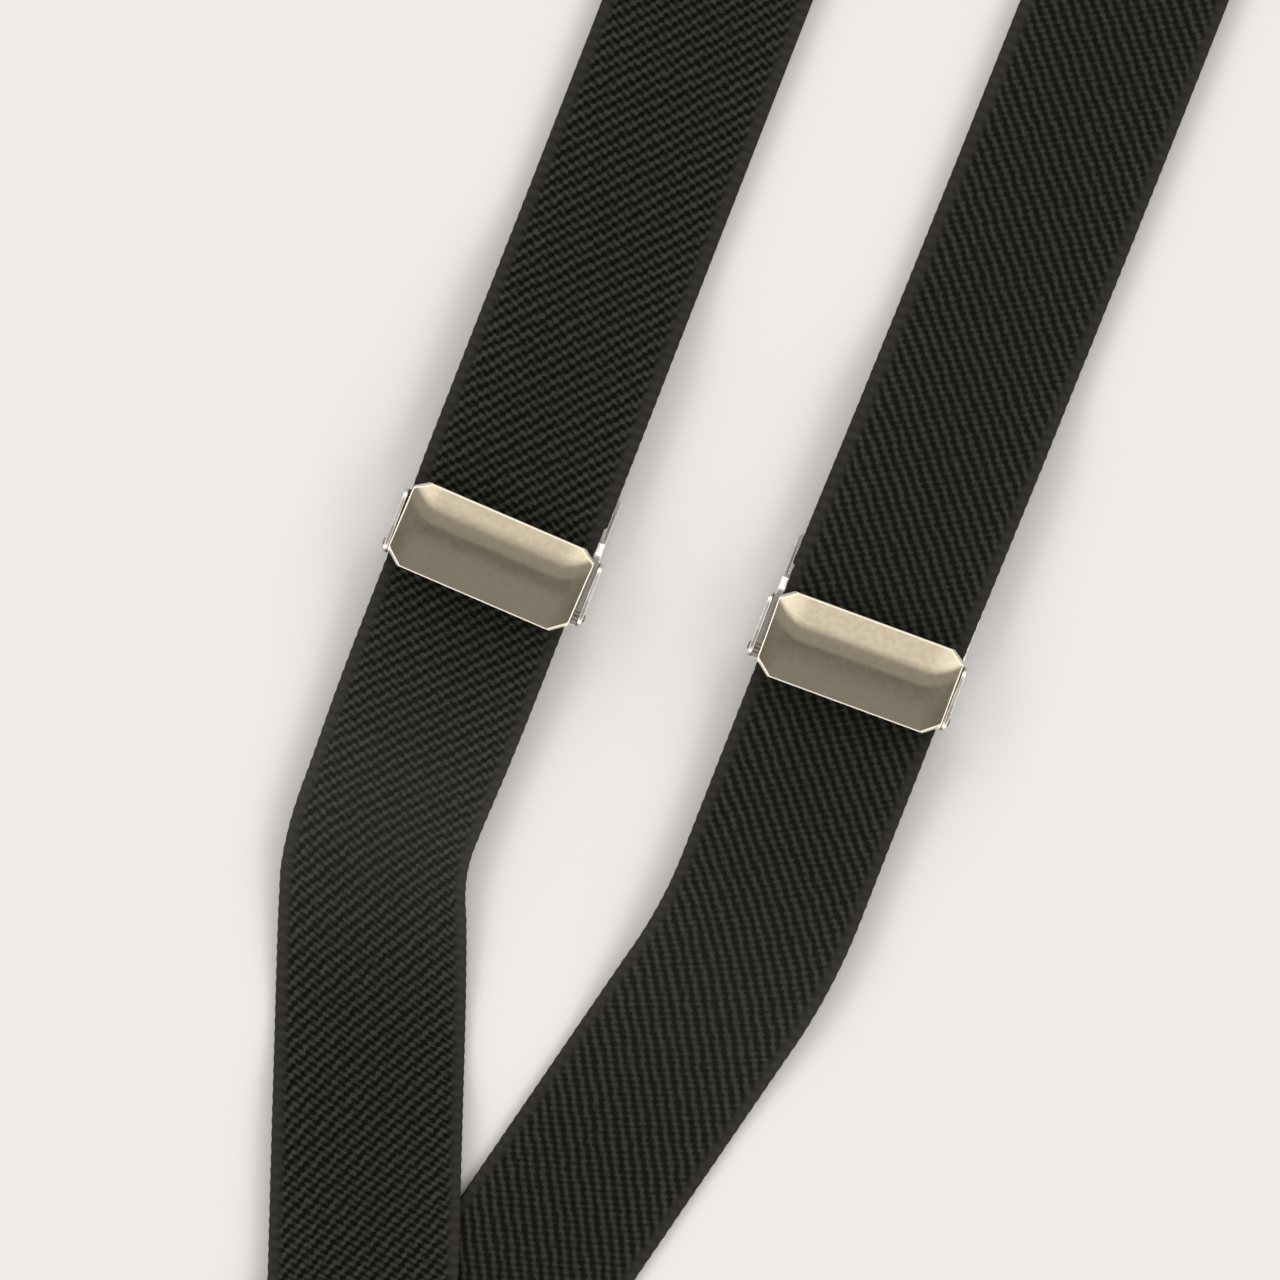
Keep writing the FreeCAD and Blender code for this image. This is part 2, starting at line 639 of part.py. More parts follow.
def build():
    nodes = {
        "patch_inner": patch_layer(0, PATCH_INNER_T),
        "patch_outer": patch_layer(patch_top_z(), PATCH_OUTER_T),
        "patch_stitching": patch_stitching(),
        "back_strap": back_run(),
        "back_strap_loop": back_loop(),
        "back_strap_seam": moved_to(seam(BACK_SEAM_ROWS, 2 * WEB_THICK + SEWN_GAP), 0, BACK_RING_Y),
    }
    adjuster, ends, clip = adjuster_pieces(), end_pieces(), clip_pieces()
    grip, turn = gripped_webbing(), turned_webbing()
    for name, side in SIDES.items():
        x, y, inward = side["x"], side["adjuster_y"], side["inward"]
        nodes[f"{name}_strap"] = front_run(side)
        nodes[f"{name}_strap_gripped"] = moved_to(grip, x, y)
        nodes[f"{name}_strap_front"] = front_layer(side)
        nodes[f"{name}_strap_turn"] = moved_to(turn, x, side["ring_y"])
        nodes[f"{name}_strap_return"] = return_layer(side)
        for piece, shape in ends.items():
            nodes[f"{name}_{piece}"] = moved_to(shape, x + inward * side["frame_shift"], y)
        for piece, shape in adjuster.items():
            shift = side["cover_shift"] if piece == "adjuster_lever" else side["frame_shift"]
            nodes[f"{name}_{piece}"] = moved_to(shape, x + inward * shift, y)
        for piece, shape in clip.items():
            nodes[f"{name}_{piece}"] = moved_to(shape, x, side["ring_y"])
    for piece, shape in clip.items():
        nodes[f"back_{piece}"] = moved_to(shape, 0, BACK_RING_Y, turned=True)
    return nodes


os.makedirs(OUT, exist_ok=True)
for node, shape in build().items():
    solids = shape.Solids
    if not solids or not all(s.isValid() and s.Volume > 0 for s in solids):
        raise SystemExit(f"{node} isn't a valid solid")
    whole = solids[0] if len(solids) == 1 else Part.makeCompound(solids)
    whole.exportStep(f"{OUT}/{node}.step")
    print(f"{node}: {len(solids)} solid(s), {sum(s.Volume for s in solids) / 1000:.3f} cm3")
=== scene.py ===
"""Looks of the suspenders: twill webbing, leather patch, plated adjusters and clips on a pale floor."""

import json
import math

import bpy
import numpy as np
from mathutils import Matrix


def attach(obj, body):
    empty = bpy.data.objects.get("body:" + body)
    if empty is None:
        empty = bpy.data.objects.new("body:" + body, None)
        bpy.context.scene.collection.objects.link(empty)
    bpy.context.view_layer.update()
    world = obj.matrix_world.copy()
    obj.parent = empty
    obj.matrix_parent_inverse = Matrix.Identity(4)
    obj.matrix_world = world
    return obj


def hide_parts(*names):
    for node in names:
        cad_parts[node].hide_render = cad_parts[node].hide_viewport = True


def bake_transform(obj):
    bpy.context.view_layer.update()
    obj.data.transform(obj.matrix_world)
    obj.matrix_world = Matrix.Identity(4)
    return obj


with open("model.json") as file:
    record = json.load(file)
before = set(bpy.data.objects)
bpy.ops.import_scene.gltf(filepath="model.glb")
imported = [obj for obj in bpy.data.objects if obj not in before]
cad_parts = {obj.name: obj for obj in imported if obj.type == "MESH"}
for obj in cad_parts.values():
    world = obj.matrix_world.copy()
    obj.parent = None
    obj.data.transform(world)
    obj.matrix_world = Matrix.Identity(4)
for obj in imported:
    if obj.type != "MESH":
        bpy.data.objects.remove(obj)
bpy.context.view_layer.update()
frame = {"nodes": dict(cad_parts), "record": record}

MM = 0.001

# --- Dimensions in millimetres, as the solids have them --------------------------------------------
WEB_WIDTH = 24.8
WEB_THICK = 1.2
HIGH_Z = 3.4  # underside of the webbing in an adjuster and over a ring
LOW_Z = 1.4  # underside of the upper layer between them
AXIS_Z = (WEB_THICK + HIGH_Z) / 2
# The first two lines of a side repeat the solids. The others are what the looks add to them:
# relaxed: how much finer the weave is before the adjuster; then painted light: how much lighter the webbing
# is round its bend, and the place along the strap where that is most
# pinch: share of its width that the strap loses at its bend; swell: share that it gains past the adjuster
# wander: how far it strays sideways past the adjuster
# askew: degrees that the cover is turned by; fold_shift, fold_soft, crown: how the cover's plate bends down
SIDES = {
    "left": {
        "x": -29.1, "bend_y": 81.1, "bend_r": 30.0, "adjuster_y": 122.1, "ring_y": 520.0, "end_y": -14.0,
        "inward": 1, "cover_shift": 0.2, "frame_shift": 0.5, "lift": WEB_THICK + 0.05,
        "twill": "webbing_twill", "relaxed": 1.06, "bend_light": 0.50, "bend_light_y": 87.0,
        "pinch": 0.036, "swell": 0.022, "wander": 0.0,
        "askew": -2.0, "fold_shift": 0.9, "fold_soft": 1.6, "crown": 6.0,
    },
    "right": {
        "x": 20.4, "bend_y": 87.5, "bend_r": 70.0, "adjuster_y": 126.7, "ring_y": 522.3, "end_y": -8.0,
        "inward": -1, "cover_shift": 0.0, "frame_shift": 0.35, "lift": 0.0,
        "twill": "webbing_twill_mirrored", "relaxed": 1.0, "bend_light": 0.18, "bend_light_y": 80.0,
        "pinch": 0.0, "swell": 0.008, "wander": 1.1,
        "askew": 1.1, "fold_shift": 0.0, "fold_soft": 1.0, "crown": 2.6,
    },
}
CROSSING_Y = 44.3
PATCH_INNER_T = 1.0
PATCH_TOP_Y, PATCH_WAIST_Y, PATCH_LOW_Y = 20.0, -3.0, -32.0
PATCH_TOP_HALF, PATCH_WAIST_HALF, PATCH_LOW_HALF = 24.0, 22.5, 15.0
BACK_RING_Y = -185.0
BACK_SPLIT_Y = -138.0
BACK_START_Y = -12.5
BACK_TAIL = 32.0
SEWN_GAP = 0.1
HELD_FROM, HELD_TO = -26.0, 48.0  # the webbing that moves with an adjuster, from its middle
TURN_LEG = 20.0  # the webbing that turns round a ring starts this far before it
FOLD_LOW_TO = 36.0  # the lower layer starts this far past the adjuster's middle
FOLD_TIP, FOLD_R = 9.2, 1.0  # the fold round the adjuster's tail bar

# --- What the looks of the webbing add --------------------------------------------------------------
ROW_STEP = 0.4  # length of strap between two rows of vertices
SLIDING_STEP = 0.8  # the same beyond the adjusters
SCALLOP_PITCH = 1.6  # the edges' small waves
SCALLOP_DEPTH = 0.09
EDGE_R = 0.52
CROWN = 0.04  # the middle is this much thicker than the sides
TUCK = 0.06  # a stretch's end goes this far under the next one's
RUN_LIFT = 2.3  # the strap hangs this far above the surface just before it rises to its adjuster
PINCH_LENGTH = 11.0  # a strap is a little narrower along this stretch of its bend
SHEAR_FROM = 36.0  # the weft starts to turn here
BEND_LIGHT_LENGTH = 17.0  # painted light makes the webbing lighter along this stretch of its bend
WANDER_PEAK = 27 / 4  # brings the highest value of t * (1 - t)**2 to 1

# --- Camera ----------------------------------------------------------------------------------------
LEAN = math.radians(21.3)  # the straps lean this far to the right in the picture
LOOK_AT = (-7.06, 119.1)  # middle of the picture, in millimetres
VIEW_WIDTH = 165.8
CAMERA_HEIGHT = 1500.0
SENSOR = 36.0

# --- Light -----------------------------------------------------------------------------------------
# Brightness and tint of the room by the angle from straight overhead, in degrees: along the straps and
# across them.
NEUTRAL, WARM = (1.0, 0.985, 0.965), (1.0, 0.955, 0.925)
SKY_ALONG = (
    (0, 0.46, NEUTRAL), (3, 0.43, NEUTRAL), (6.5, 0.25, NEUTRAL), (9.5, 0.26, NEUTRAL), (15, 0.47, NEUTRAL),
    (30, 0.54, WARM), (42, 0.82, WARM), (52, 1.00, WARM), (60, 2.2, NEUTRAL), (66, 3.3, NEUTRAL),
    (73, 1.2, NEUTRAL), (180, 0.5, NEUTRAL),
)
SKY_ACROSS = (
    (0, 0.46, NEUTRAL), (7, 0.38, NEUTRAL), (18, 0.27, NEUTRAL), (28, 0.28, NEUTRAL), (36, 0.6, NEUTRAL),
    (43, 2.7, NEUTRAL), (53, 3.3, NEUTRAL), (60, 1.4, NEUTRAL), (70, 0.6, NEUTRAL), (180, 0.4, NEUTRAL),
)
SKY_SCALE = 3.5
FLOOR_HALF, FLOOR_GAP = 6000.0, 0.02


# --- Node helpers ----------------------------------------------------------------------------------

class Nodes:
    """A material's node tree, with short calls for the nodes that the materials here share."""

    def __init__(self, name):
        self.material = bpy.data.materials.new(name)
        self.material.use_nodes = True
        self.tree = self.material.node_tree
        self.shader = self.tree.nodes["Principled BSDF"]

    def new(self, kind, **settings):
        node = self.tree.nodes.new(kind)
        for key, value in settings.items():
            setattr(node, key, value)
        return node

    def feed(self, socket, value):
        if isinstance(value, bpy.types.NodeSocket):
            self.tree.links.new(value, socket)
        else:
            socket.default_value = value

    def math(self, operation, a, b=0.0, c=0.0, clamp=False):
        node = self.new("ShaderNodeMath", operation=operation, use_clamp=clamp)
        for socket, value in zip(node.inputs, (a, b, c)):
            self.feed(socket, value)
        return node.outputs[0]

    def ramp(self, value, low, high):
        """0 where value is at most low, 1 where it is at least high, smooth between."""
        node = self.new("ShaderNodeMapRange", interpolation_type="SMOOTHSTEP")
        self.feed(node.inputs["Value"], value)
        node.inputs["From Min"].default_value = low
        node.inputs["From Max"].default_value = high
        return node.outputs["Result"]

    def noise(self, place, scale, detail=2.0):
        node = self.new("ShaderNodeTexNoise")
        self.feed(node.inputs["Vector"], place)
        node.inputs["Scale"].default_value = scale
        node.inputs["Detail"].default_value = detail
        return node.outputs["Fac"]

    def mix(self, share, a, b):
        node = self.new("ShaderNodeMix", data_type="RGBA")
        self.feed(node.inputs["Factor"], share)
        for socket, colour in ((node.inputs["A"], a), (node.inputs["B"], b)):
            self.feed(socket, colour if isinstance(colour, bpy.types.NodeSocket) else (*colour, 1.0))
        return node.outputs["Result"]

    def scaled(self, colour, factor):
        node = self.new("ShaderNodeVectorMath", operation="SCALE")
        self.feed(node.inputs[0], colour)
        self.feed(node.inputs["Scale"], factor)
        return node.outputs[0]

    def object_place(self):
        return self.new("ShaderNodeTexCoord").outputs["Object"]

    def bump(self, height, distance, strength=1.0, normal=None):
        node = self.new("ShaderNodeBump")
        self.feed(node.inputs["Height"], height)
        node.inputs["Distance"].default_value = distance
        node.inputs["Strength"].default_value = strength
        if normal is not None:
            self.feed(node.inputs["Normal"], normal)
        return node.outputs["Normal"]

    def attribute(self, name, output):
        return self.new("ShaderNodeAttribute", attribute_name=name).outputs[output]

    def rounded_edges(self, radius):
        node = self.new("ShaderNodeBevel", samples=6)
        node.inputs["Radius"].default_value = radius
        return node.outputs["Normal"]

    def set(self, **values):
        names = {
            "colour": "Base Color", "metallic": "Metallic", "roughness": "Roughness", "normal": "Normal",
            "specular": "Specular IOR Level", "sheen": "Sheen Weight", "sheen_roughness": "Sheen Roughness",
        }
        for key, value in values.items():
            if isinstance(value, tuple):
                value = (*value, 1.0)
            self.feed(self.shader.inputs[names[key]], value)
        return self.material


# --- Materials -------------------------------------------------------------------------------------

TWILLS = {
    # waves as cycles per millimetre along and across the strap, weight and phase; colours of gap, which is
    # painted shade between the beads, and of thread
    "webbing_twill": (
        ((-0.478, 0.530, 0.86, 0.00), (-0.975, -0.548, 0.66, 0.00), (-0.478, 1.056, 0.28, 0.30)),
        (0.0012, 0.0014, 0.0010), (0.0436, 0.0472, 0.0352),
    ),
    "webbing_twill_mirrored": (
        ((-0.496, 0.567, 1.00, 0.00), (-1.008, -0.571, 0.46, 0.00), (-0.478, 1.056, 0.14, 0.30)),
        (0.0040, 0.0044, 0.0032), (0.0376, 0.0404, 0.0299),
    ),
}
SWAY_SCALE, SWAY = 0.35, 0.5  # the weave's lines bend a little: how closely, and by how many cycles
UNEVEN_SCALE, UNEVEN, UNEVEN_LEAST = 1.1, 1.1, 0.45  # some beads stand higher than others
FUZZ_SCALE, FUZZ = 3.4, 0.75  # loose fibres that break the beads up
DARK_BELOW = 0.20  # height of the weave under which only the gap's colour, painted shade, shows
WEAVE_TONE = 0.792
EDGE_SHEEN, EDGE_POWER = 0.22, 3.0  # the weave is this much lighter near both edges
SELVAGE = ((0.0216, 0.0188, 0.0168), (0.0306, 0.0272, 0.0244))
SELVAGE_FULL, SELVAGE_NONE = 0.6, 2.1  # distances from the edge between which it gives way to the twill
SELVAGE_LEVEL, SELVAGE_RIB = 0.38, 0.2  # its height, and how much its ribs add
BEND_LIGHT_GREY, BEND_LIGHT_SHARE = (0.0275, 0.0270, 0.0268), 0.6  # painted light round the bend: an even grey that the weave is mixed towards there, and how far
FIBRE_SCALE, FIBRE = 9000.0, 0.15
WEAVE_RELIEF = 0.22


def strap_coordinates(n):
    """Places across and along the strap, in millimetres."""
    split = n.new("ShaderNodeSeparateXYZ")
    n.feed(split.inputs[0], n.attribute("strap_place", "Vector"))
    across, along, sliding = split.outputs
    world = n.new("ShaderNodeSeparateXYZ")
    n.feed(world.inputs[0], n.object_place())
    world_along = n.math("MULTIPLY", world.outputs["Y"], 1 / MM)
    return across, n.math("MULTIPLY_ADD", world_along, sliding, along)


def bead_height(n, across, along, flat, waves, mirrored):
    """Height of the twill's beads, from 0 to 1: the sum of slanting waves, made uneven."""
    sway = n.math("MULTIPLY", n.math("SUBTRACT", n.noise(flat, SWAY_SCALE, 3.0), 0.5), SWAY)
    total = None
    weights = sum(weight for _, _, weight, _ in waves)
    for f_along, f_across, weight, phase in waves:
        turn = n.math("MULTIPLY_ADD", along, f_along, phase)
        turn = n.math("MULTIPLY_ADD", across, -f_across if mirrored else f_across, turn)
        turn = n.math("ADD", turn, sway)
        wave = n.math("MULTIPLY", n.math("COSINE", n.math("MULTIPLY", turn, 2 * math.pi)), weight / weights)
        total = wave if total is None else n.math("ADD", total, wave)
    bead = n.math("MULTIPLY_ADD", total, 0.5, 0.5)
    uneven = n.math("MULTIPLY_ADD", n.noise(flat, UNEVEN_SCALE, 3.0), UNEVEN, UNEVEN_LEAST)
    bead = n.math("MULTIPLY", bead, uneven)
    fuzz = n.math("SUBTRACT", n.noise(flat, FUZZ_SCALE, 2.0), 0.5)
    return n.math("MULTIPLY_ADD", fuzz, FUZZ, bead, clamp=True)


def webbing_material(name, mirrored):
    """Elastic twill: rows of small beads in slanting lines, with a finer woven edge on both sides; painted
    shade in the gaps between the beads, painted sheen near the edges and painted light round the bends.
    """
    n = Nodes(name)
    waves, gap_shade, thread = TWILLS[name]
    across, along = strap_coordinates(n)
    flat = n.new("ShaderNodeCombineXYZ")
    n.feed(flat.inputs[0], across)
    n.feed(flat.inputs[1], along)
    bead = bead_height(n, across, along, flat.outputs[0], waves, mirrored)

    edge_distance = n.math("SUBTRACT", WEB_WIDTH / 2, n.math("ABSOLUTE", across))
    edge_turn = n.math("MULTIPLY", along, 2 * math.pi / SCALLOP_PITCH)
    edge_wave = n.math("MULTIPLY_ADD", n.math("COSINE", edge_turn), 0.5, 0.5)
    rib = n.math("MULTIPLY_ADD", edge_wave, SELVAGE_RIB, SELVAGE_LEVEL)
    selvage = n.math("SUBTRACT", 1.0, n.ramp(edge_distance, SELVAGE_FULL, SELVAGE_NONE))
    inner = n.math("MULTIPLY", bead, n.math("SUBTRACT", 1.0, selvage))
    height = n.math("ADD", inner, n.math("MULTIPLY", rib, selvage))

    nearness = n.math("ABSOLUTE", n.math("DIVIDE", across, WEB_WIDTH / 2))
    nearness = n.math("POWER", nearness, EDGE_POWER)
    # painted light round the bends: the webbing is lighter there and is mixed towards an even grey, so its
    # beads stand out less
    bend_light = n.attribute("strap_bend_light", "Fac")
    tone = n.math("MULTIPLY", bend_light, n.math("MULTIPLY_ADD", nearness, EDGE_SHEEN, WEAVE_TONE))
    # colour follows the weave's height: the real pattern of beads, with painted shade in the gaps between
    # them and the thread's colour on their tops
    twill = n.mix(n.ramp(height, DARK_BELOW, 1.0), gap_shade, thread)
    colour = n.scaled(n.mix(selvage, twill, n.mix(edge_wave, *SELVAGE)), tone)
    colour = n.mix(n.math("MULTIPLY_ADD", bend_light, BEND_LIGHT_SHARE, -BEND_LIGHT_SHARE), colour, BEND_LIGHT_GREY)

    fibre = n.noise(n.object_place(), FIBRE_SCALE, 2.0)
    relief = n.math("ADD", height, n.math("MULTIPLY", fibre, FIBRE))
    return n.set(colour=colour, roughness=0.8, specular=0.08, sheen=0.02, sheen_roughness=0.5,
                 normal=n.bump(relief, WEAVE_RELIEF * MM))


RIM_HIGHLIGHT = (0.60, 0.56, 0.49)  # painted highlight: a lighter, whiter tint on the cover plates' rolled rims


def metal_material(name, colour, roughness, brushed=0.0, edge=0.18):
    """Plated steel with softened edges, faint brushing and small uneven spots, and a painted highlight on
    the rims of meshes that have a rim attribute.

    brushed is how much the brushing changes the roughness, edge the edges' radius in millimetres.
    """
    n = Nodes(name)
    place = n.object_place()
    stretched = n.new("ShaderNodeMapping")
    n.feed(stretched.inputs["Vector"], place)
    stretched.inputs["Scale"].default_value = (0.05, 1.0, 1.0)
    lines = n.noise(stretched.outputs[0], 14000.0, 2.0)
    spots = n.noise(place, 1300.0, 4.0)
    worn = n.math("MULTIPLY_ADD", spots, 0.12, roughness - 0.06)
    worn = n.math("MULTIPLY_ADD", lines, brushed, worn)
    darker = tuple(c * 0.93 for c in colour)
    tint = n.mix(n.ramp(spots, 0.35, 0.65), darker, colour)
    # painted highlight: a lighter, whiter tint where the mesh's rim attribute is set
    tint = n.mix(n.attribute("rim", "Fac"), tint, RIM_HIGHLIGHT)
    normal = n.bump(lines, 0.004 * MM, 0.5, n.rounded_edges(edge * MM))
    return n.set(colour=tint, metallic=1.0, roughness=worn, normal=normal)


def leather_material(name):
    """Dark leather with a fine cell-like grain and slow changes of tone."""
    n = Nodes(name)
    place = n.object_place()
    cells = n.new("ShaderNodeTexVoronoi", feature="DISTANCE_TO_EDGE")
    n.feed(cells.inputs["Vector"], place)
    cells.inputs["Scale"].default_value = 1400.0
    grain = n.ramp(cells.outputs["Distance"], 0.0, 0.3)
    blotch = n.noise(place, 160.0, 4.0)
    colour = n.mix(blotch, (0.007, 0.0065, 0.006), (0.017, 0.0155, 0.014))
    roughness = n.math("MULTIPLY_ADD", blotch, 0.2, 0.38)
    relief = n.math("ADD", grain, n.math("MULTIPLY", blotch, 0.6))
    return n.set(colour=colour, roughness=roughness, specular=0.26, normal=n.bump(relief, 0.09 * MM))


def thread_material(name):
    """Twisted thread: thin slanting bands."""
    n = Nodes(name)
    place = n.object_place()
    ply = n.new("ShaderNodeTexWave", wave_type="BANDS", bands_direction="DIAGONAL")
    n.feed(ply.inputs["Vector"], place)
    ply.inputs["Scale"].default_value = 900.0
    colour = n.mix(ply.outputs["Fac"], (0.012, 0.012, 0.011), (0.05, 0.05, 0.047))
    return n.set(colour=colour, roughness=0.6, specular=0.3, normal=n.bump(ply.outputs["Fac"], 0.06 * MM))


def nylon_material(name):
    """Moulded black nylon, slightly speckled."""
    n = Nodes(name)
    speckle = n.noise(n.object_place(), 2200.0, 3.0)
    colour = n.mix(speckle, (0.012, 0.012, 0.012), (0.022, 0.022, 0.022))
    roughness = n.math("MULTIPLY_ADD", speckle, 0.2, 0.4)
    return n.set(colour=colour, roughness=roughness, specular=0.4,
                 normal=n.bump(speckle, 0.03 * MM, 0.6, n.rounded_edges(0.15 * MM)))


def floor_material(name):
    """Matt paper with hardly any mottle."""
    n = Nodes(name)
    mottle = n.noise(n.object_place(), 6.0, 3.0)
    colour = n.mix(mottle, (0.711, 0.698, 0.694), (0.732, 0.718, 0.715))
    return n.set(colour=colour, roughness=0.9, specular=0.0)


# --- Mesh helpers ----------------------------------------------------------------------------------


def add_mesh(name, points, faces, material, attributes=None):
    """A smooth-shaded object from points in millimetres."""
    mesh = bpy.data.meshes.new(name)
    mesh.from_pydata([tuple(p) for p in np.asarray(points) * MM], [], faces)
    mesh.shade_smooth()
    mesh.materials.append(material)
    for key, values in (attributes or {}).items():
        values = np.asarray(values, np.float32)
        kind, field = ("FLOAT", "value") if values.ndim == 1 else ("FLOAT_VECTOR", "vector")
        mesh.attributes.new(key, kind, "POINT").data.foreach_set(field, values.ravel())
    obj = bpy.data.objects.new(name, mesh)
    bpy.context.collection.objects.link(obj)
    return obj


def rounded_path(points, step=ROW_STEP):
    """Evenly spaced points along a path (a, b, radius) whose corners are tangent arcs."""
    trail = [np.array(points[0][:2], float)]
    for i in range(1, len(points) - 1):
        here, radius = np.array(points[i][:2], float), points[i][2]
        back = np.array(points[i - 1][:2]) - here
        on = np.array(points[i + 1][:2]) - here
        back /= np.linalg.norm(back)
        on /= np.linalg.norm(on)
        half = math.acos(float(np.clip(back @ on, -1, 1))) / 2
        reach = radius / math.tan(half)
        centre = here + (back + on) / np.linalg.norm(back + on) * radius / math.sin(half)
        start, end = here + back * reach - centre, here + on * reach - centre
        sweep = math.pi - 2 * half
        count = max(3, int(sweep * max(radius, 1) / (step * 0.5)))
        for k in range(count + 1):
            share = k / count
            point = math.sin((1 - share) * sweep) * start + math.sin(share * sweep) * end
            trail.append(centre + point / math.sin(sweep))
    trail.append(np.array(points[-1][:2], float))
    trail = np.array(trail)
    lengths = np.concatenate([[0], np.cumsum(np.linalg.norm(np.diff(trail, axis=0), axis=1))])
    keep = np.concatenate([[True], np.diff(lengths) > 1e-7])
    trail, lengths = trail[keep], lengths[keep]
    count = max(2, int(round(lengths[-1] / step)) + 1)
    at = np.linspace(0, lengths[-1], count)
    return np.stack([np.interp(at, lengths, trail[:, k]) for k in range(2)], axis=1), at


def strap_section():
    """The webbing's cross-section, as (across, height above its middle): a slab with round edges."""
    half, thick = WEB_WIDTH / 2, WEB_THICK / 2
    flat = half - EDGE_R
    across = np.linspace(-flat, flat, 13)
    crown = CROWN * (1 - (across / flat) ** 2)
    top = [(a, thick - CROWN + c) for a, c in zip(across, crown)]
    angles = np.linspace(math.pi / 2, -math.pi / 2, 6)[1:-1]
    edge = [(flat + EDGE_R * math.cos(t), thick * 0.97 * math.sin(t)) for t in angles]
    low = [(a, -thick + CROWN - c) for a, c in zip(across[::-1], crown)]
    other = [(-a, -h) for a, h in edge]
    return np.array(top + edge + low + other)


def webbing(name, centres, along, material, sliding=0.0, across_way=None, narrowing=None, tone=None):
    """A strap along a path of centres (x, y, z); along is each row's place in the weave.

    across_way gives each row's sideways direction in plan; by default it is +X. narrowing is the
    share of its width that each row loses, tone how much lighter painted light makes it. A sliding strap
    keeps its weave where it is in the frame; sliding is then the number of weave lengths per length of
    strap.
    """
    centres = np.asarray(centres, float)
    rows = len(centres)
    tangent = np.gradient(centres, axis=0)
    tangent /= np.linalg.norm(tangent, axis=1)[:, None]
    if across_way is None:
        across_way = np.tile([1.0, 0.0, 0.0], (rows, 1))
    up = np.cross(across_way, tangent)
    up /= np.linalg.norm(up, axis=1)[:, None]
    section = strap_section()
    outward = np.clip((np.abs(section[:, 0]) - (WEB_WIDTH / 2 - EDGE_R)) / EDGE_R, 0, 1)
    scallop = -SCALLOP_DEPTH * (0.5 - 0.5 * np.cos(2 * math.pi * along / SCALLOP_PITCH))
    width = 1 - (np.zeros(rows) if narrowing is None else narrowing)
    if sliding:
        for end in (slice(None, 2), slice(-2, None)):
            centres[end] -= up[end] * TUCK
    points, place = [], []
    for i in range(rows):
        reach = section[:, 0] * width[i] + np.sign(section[:, 0]) * outward * scallop[i]
        points.append(centres[i] + reach[:, None] * across_way[i] + section[:, 1][:, None] * up[i])
        own = (0.0, sliding) if sliding else (along[i], 0.0)
        place.append(np.column_stack([section[:, 0], np.tile(own, (len(section), 1))]))
    count = len(section)
    faces = []
    for i in range(rows - 1):
        for k in range(count):
            a, b = i * count + k, i * count + (k + 1) % count
            faces.append((a, b, b + count, a + count))
    for row, turn in ((0, -1), (rows - 1, 1)):
        faces.append(tuple(len(points) * count + k for k in range(count))[::turn])
        points.append(points[row])
        place.append(place[row])
    tones = np.ones(rows) if tone is None else tone
    tones = np.repeat(np.concatenate([tones, tones[[0, -1]]]), count)
    attributes = {"strap_place": np.concatenate(place), "strap_bend_light": tones}
    obj = add_mesh(name, np.concatenate(points), faces, material, attributes)
    return obj


def in_profile(path, x, y=0.0):
    """Strap rows for a path in the Y-Z plane: centres and places in the weave.

    Where the path runs on along Y, the places end at its last Y, so that the next stretch's weave meets it.
    """
    flat, at = rounded_path(path)
    centres = np.stack([np.full(len(flat), x), y + flat[:, 0], flat[:, 1]], axis=1)
    first, last = centres[0, 1], centres[-1, 1]
    fitted = last > first + 0.9 * at[-1]
    return centres, first + at * ((last - first) / at[-1] if fitted else 1.0)


# --- Straps ----------------------------------------------------------------------------------------


def smooth_step(y, y0, y1, z0, z1):
    """From z0 at y0 to z1 at y1, level at both."""
    t = np.clip((y - y0) / (y1 - y0), 0, 1)
    return z0 + (z1 - z0) * t * t * (3 - 2 * t)


def shoulder_height(side, y):
    """Middle height of a front strap between the patch and its adjuster."""
    half, lift = WEB_THICK / 2, side["lift"]
    z = smooth_step(y, PATCH_TOP_Y, PATCH_TOP_Y + 10, PATCH_INNER_T + lift + half, lift + half)
    if lift:
        z = z - smooth_step(y, CROSSING_Y + 2, CROSSING_Y + 16, 0, lift)
    return z + smooth_step(y, side["bend_y"] - 24, side["bend_y"] + 6, 0, RUN_LIFT)


def painted_bend_light(side, y):
    """Painted light: the webbing is a little lighter round its bend, where the buckled strap faces the
    light.
    """
    return 1 + side["bend_light"] * np.exp(-(((y - side["bend_light_y"]) / BEND_LIGHT_LENGTH) ** 2))


def wander(side, y):
    """How far the upper stretch strays sideways from its straight line, which it leaves and joins again."""
    start, end = side["adjuster_y"] + 8, side["ring_y"] - 40
    t = np.clip((y - start) / (end - start), 0, 1)
    return side["wander"] * WANDER_PEAK * t * (1 - t) ** 2


def bend_end(side):
    """Where the strap is straight again after its bend."""
    angle = math.atan2(abs(side["x"]), side["bend_y"])
    return side["bend_y"] + side["bend_r"] * math.tan(angle / 2) + 0.2


def pinch(side, y):
    """The share of its width that the strap loses round its bend."""
    return side["pinch"] * np.exp(-(((y - side["bend_y"] - 4) / PINCH_LENGTH) ** 2))


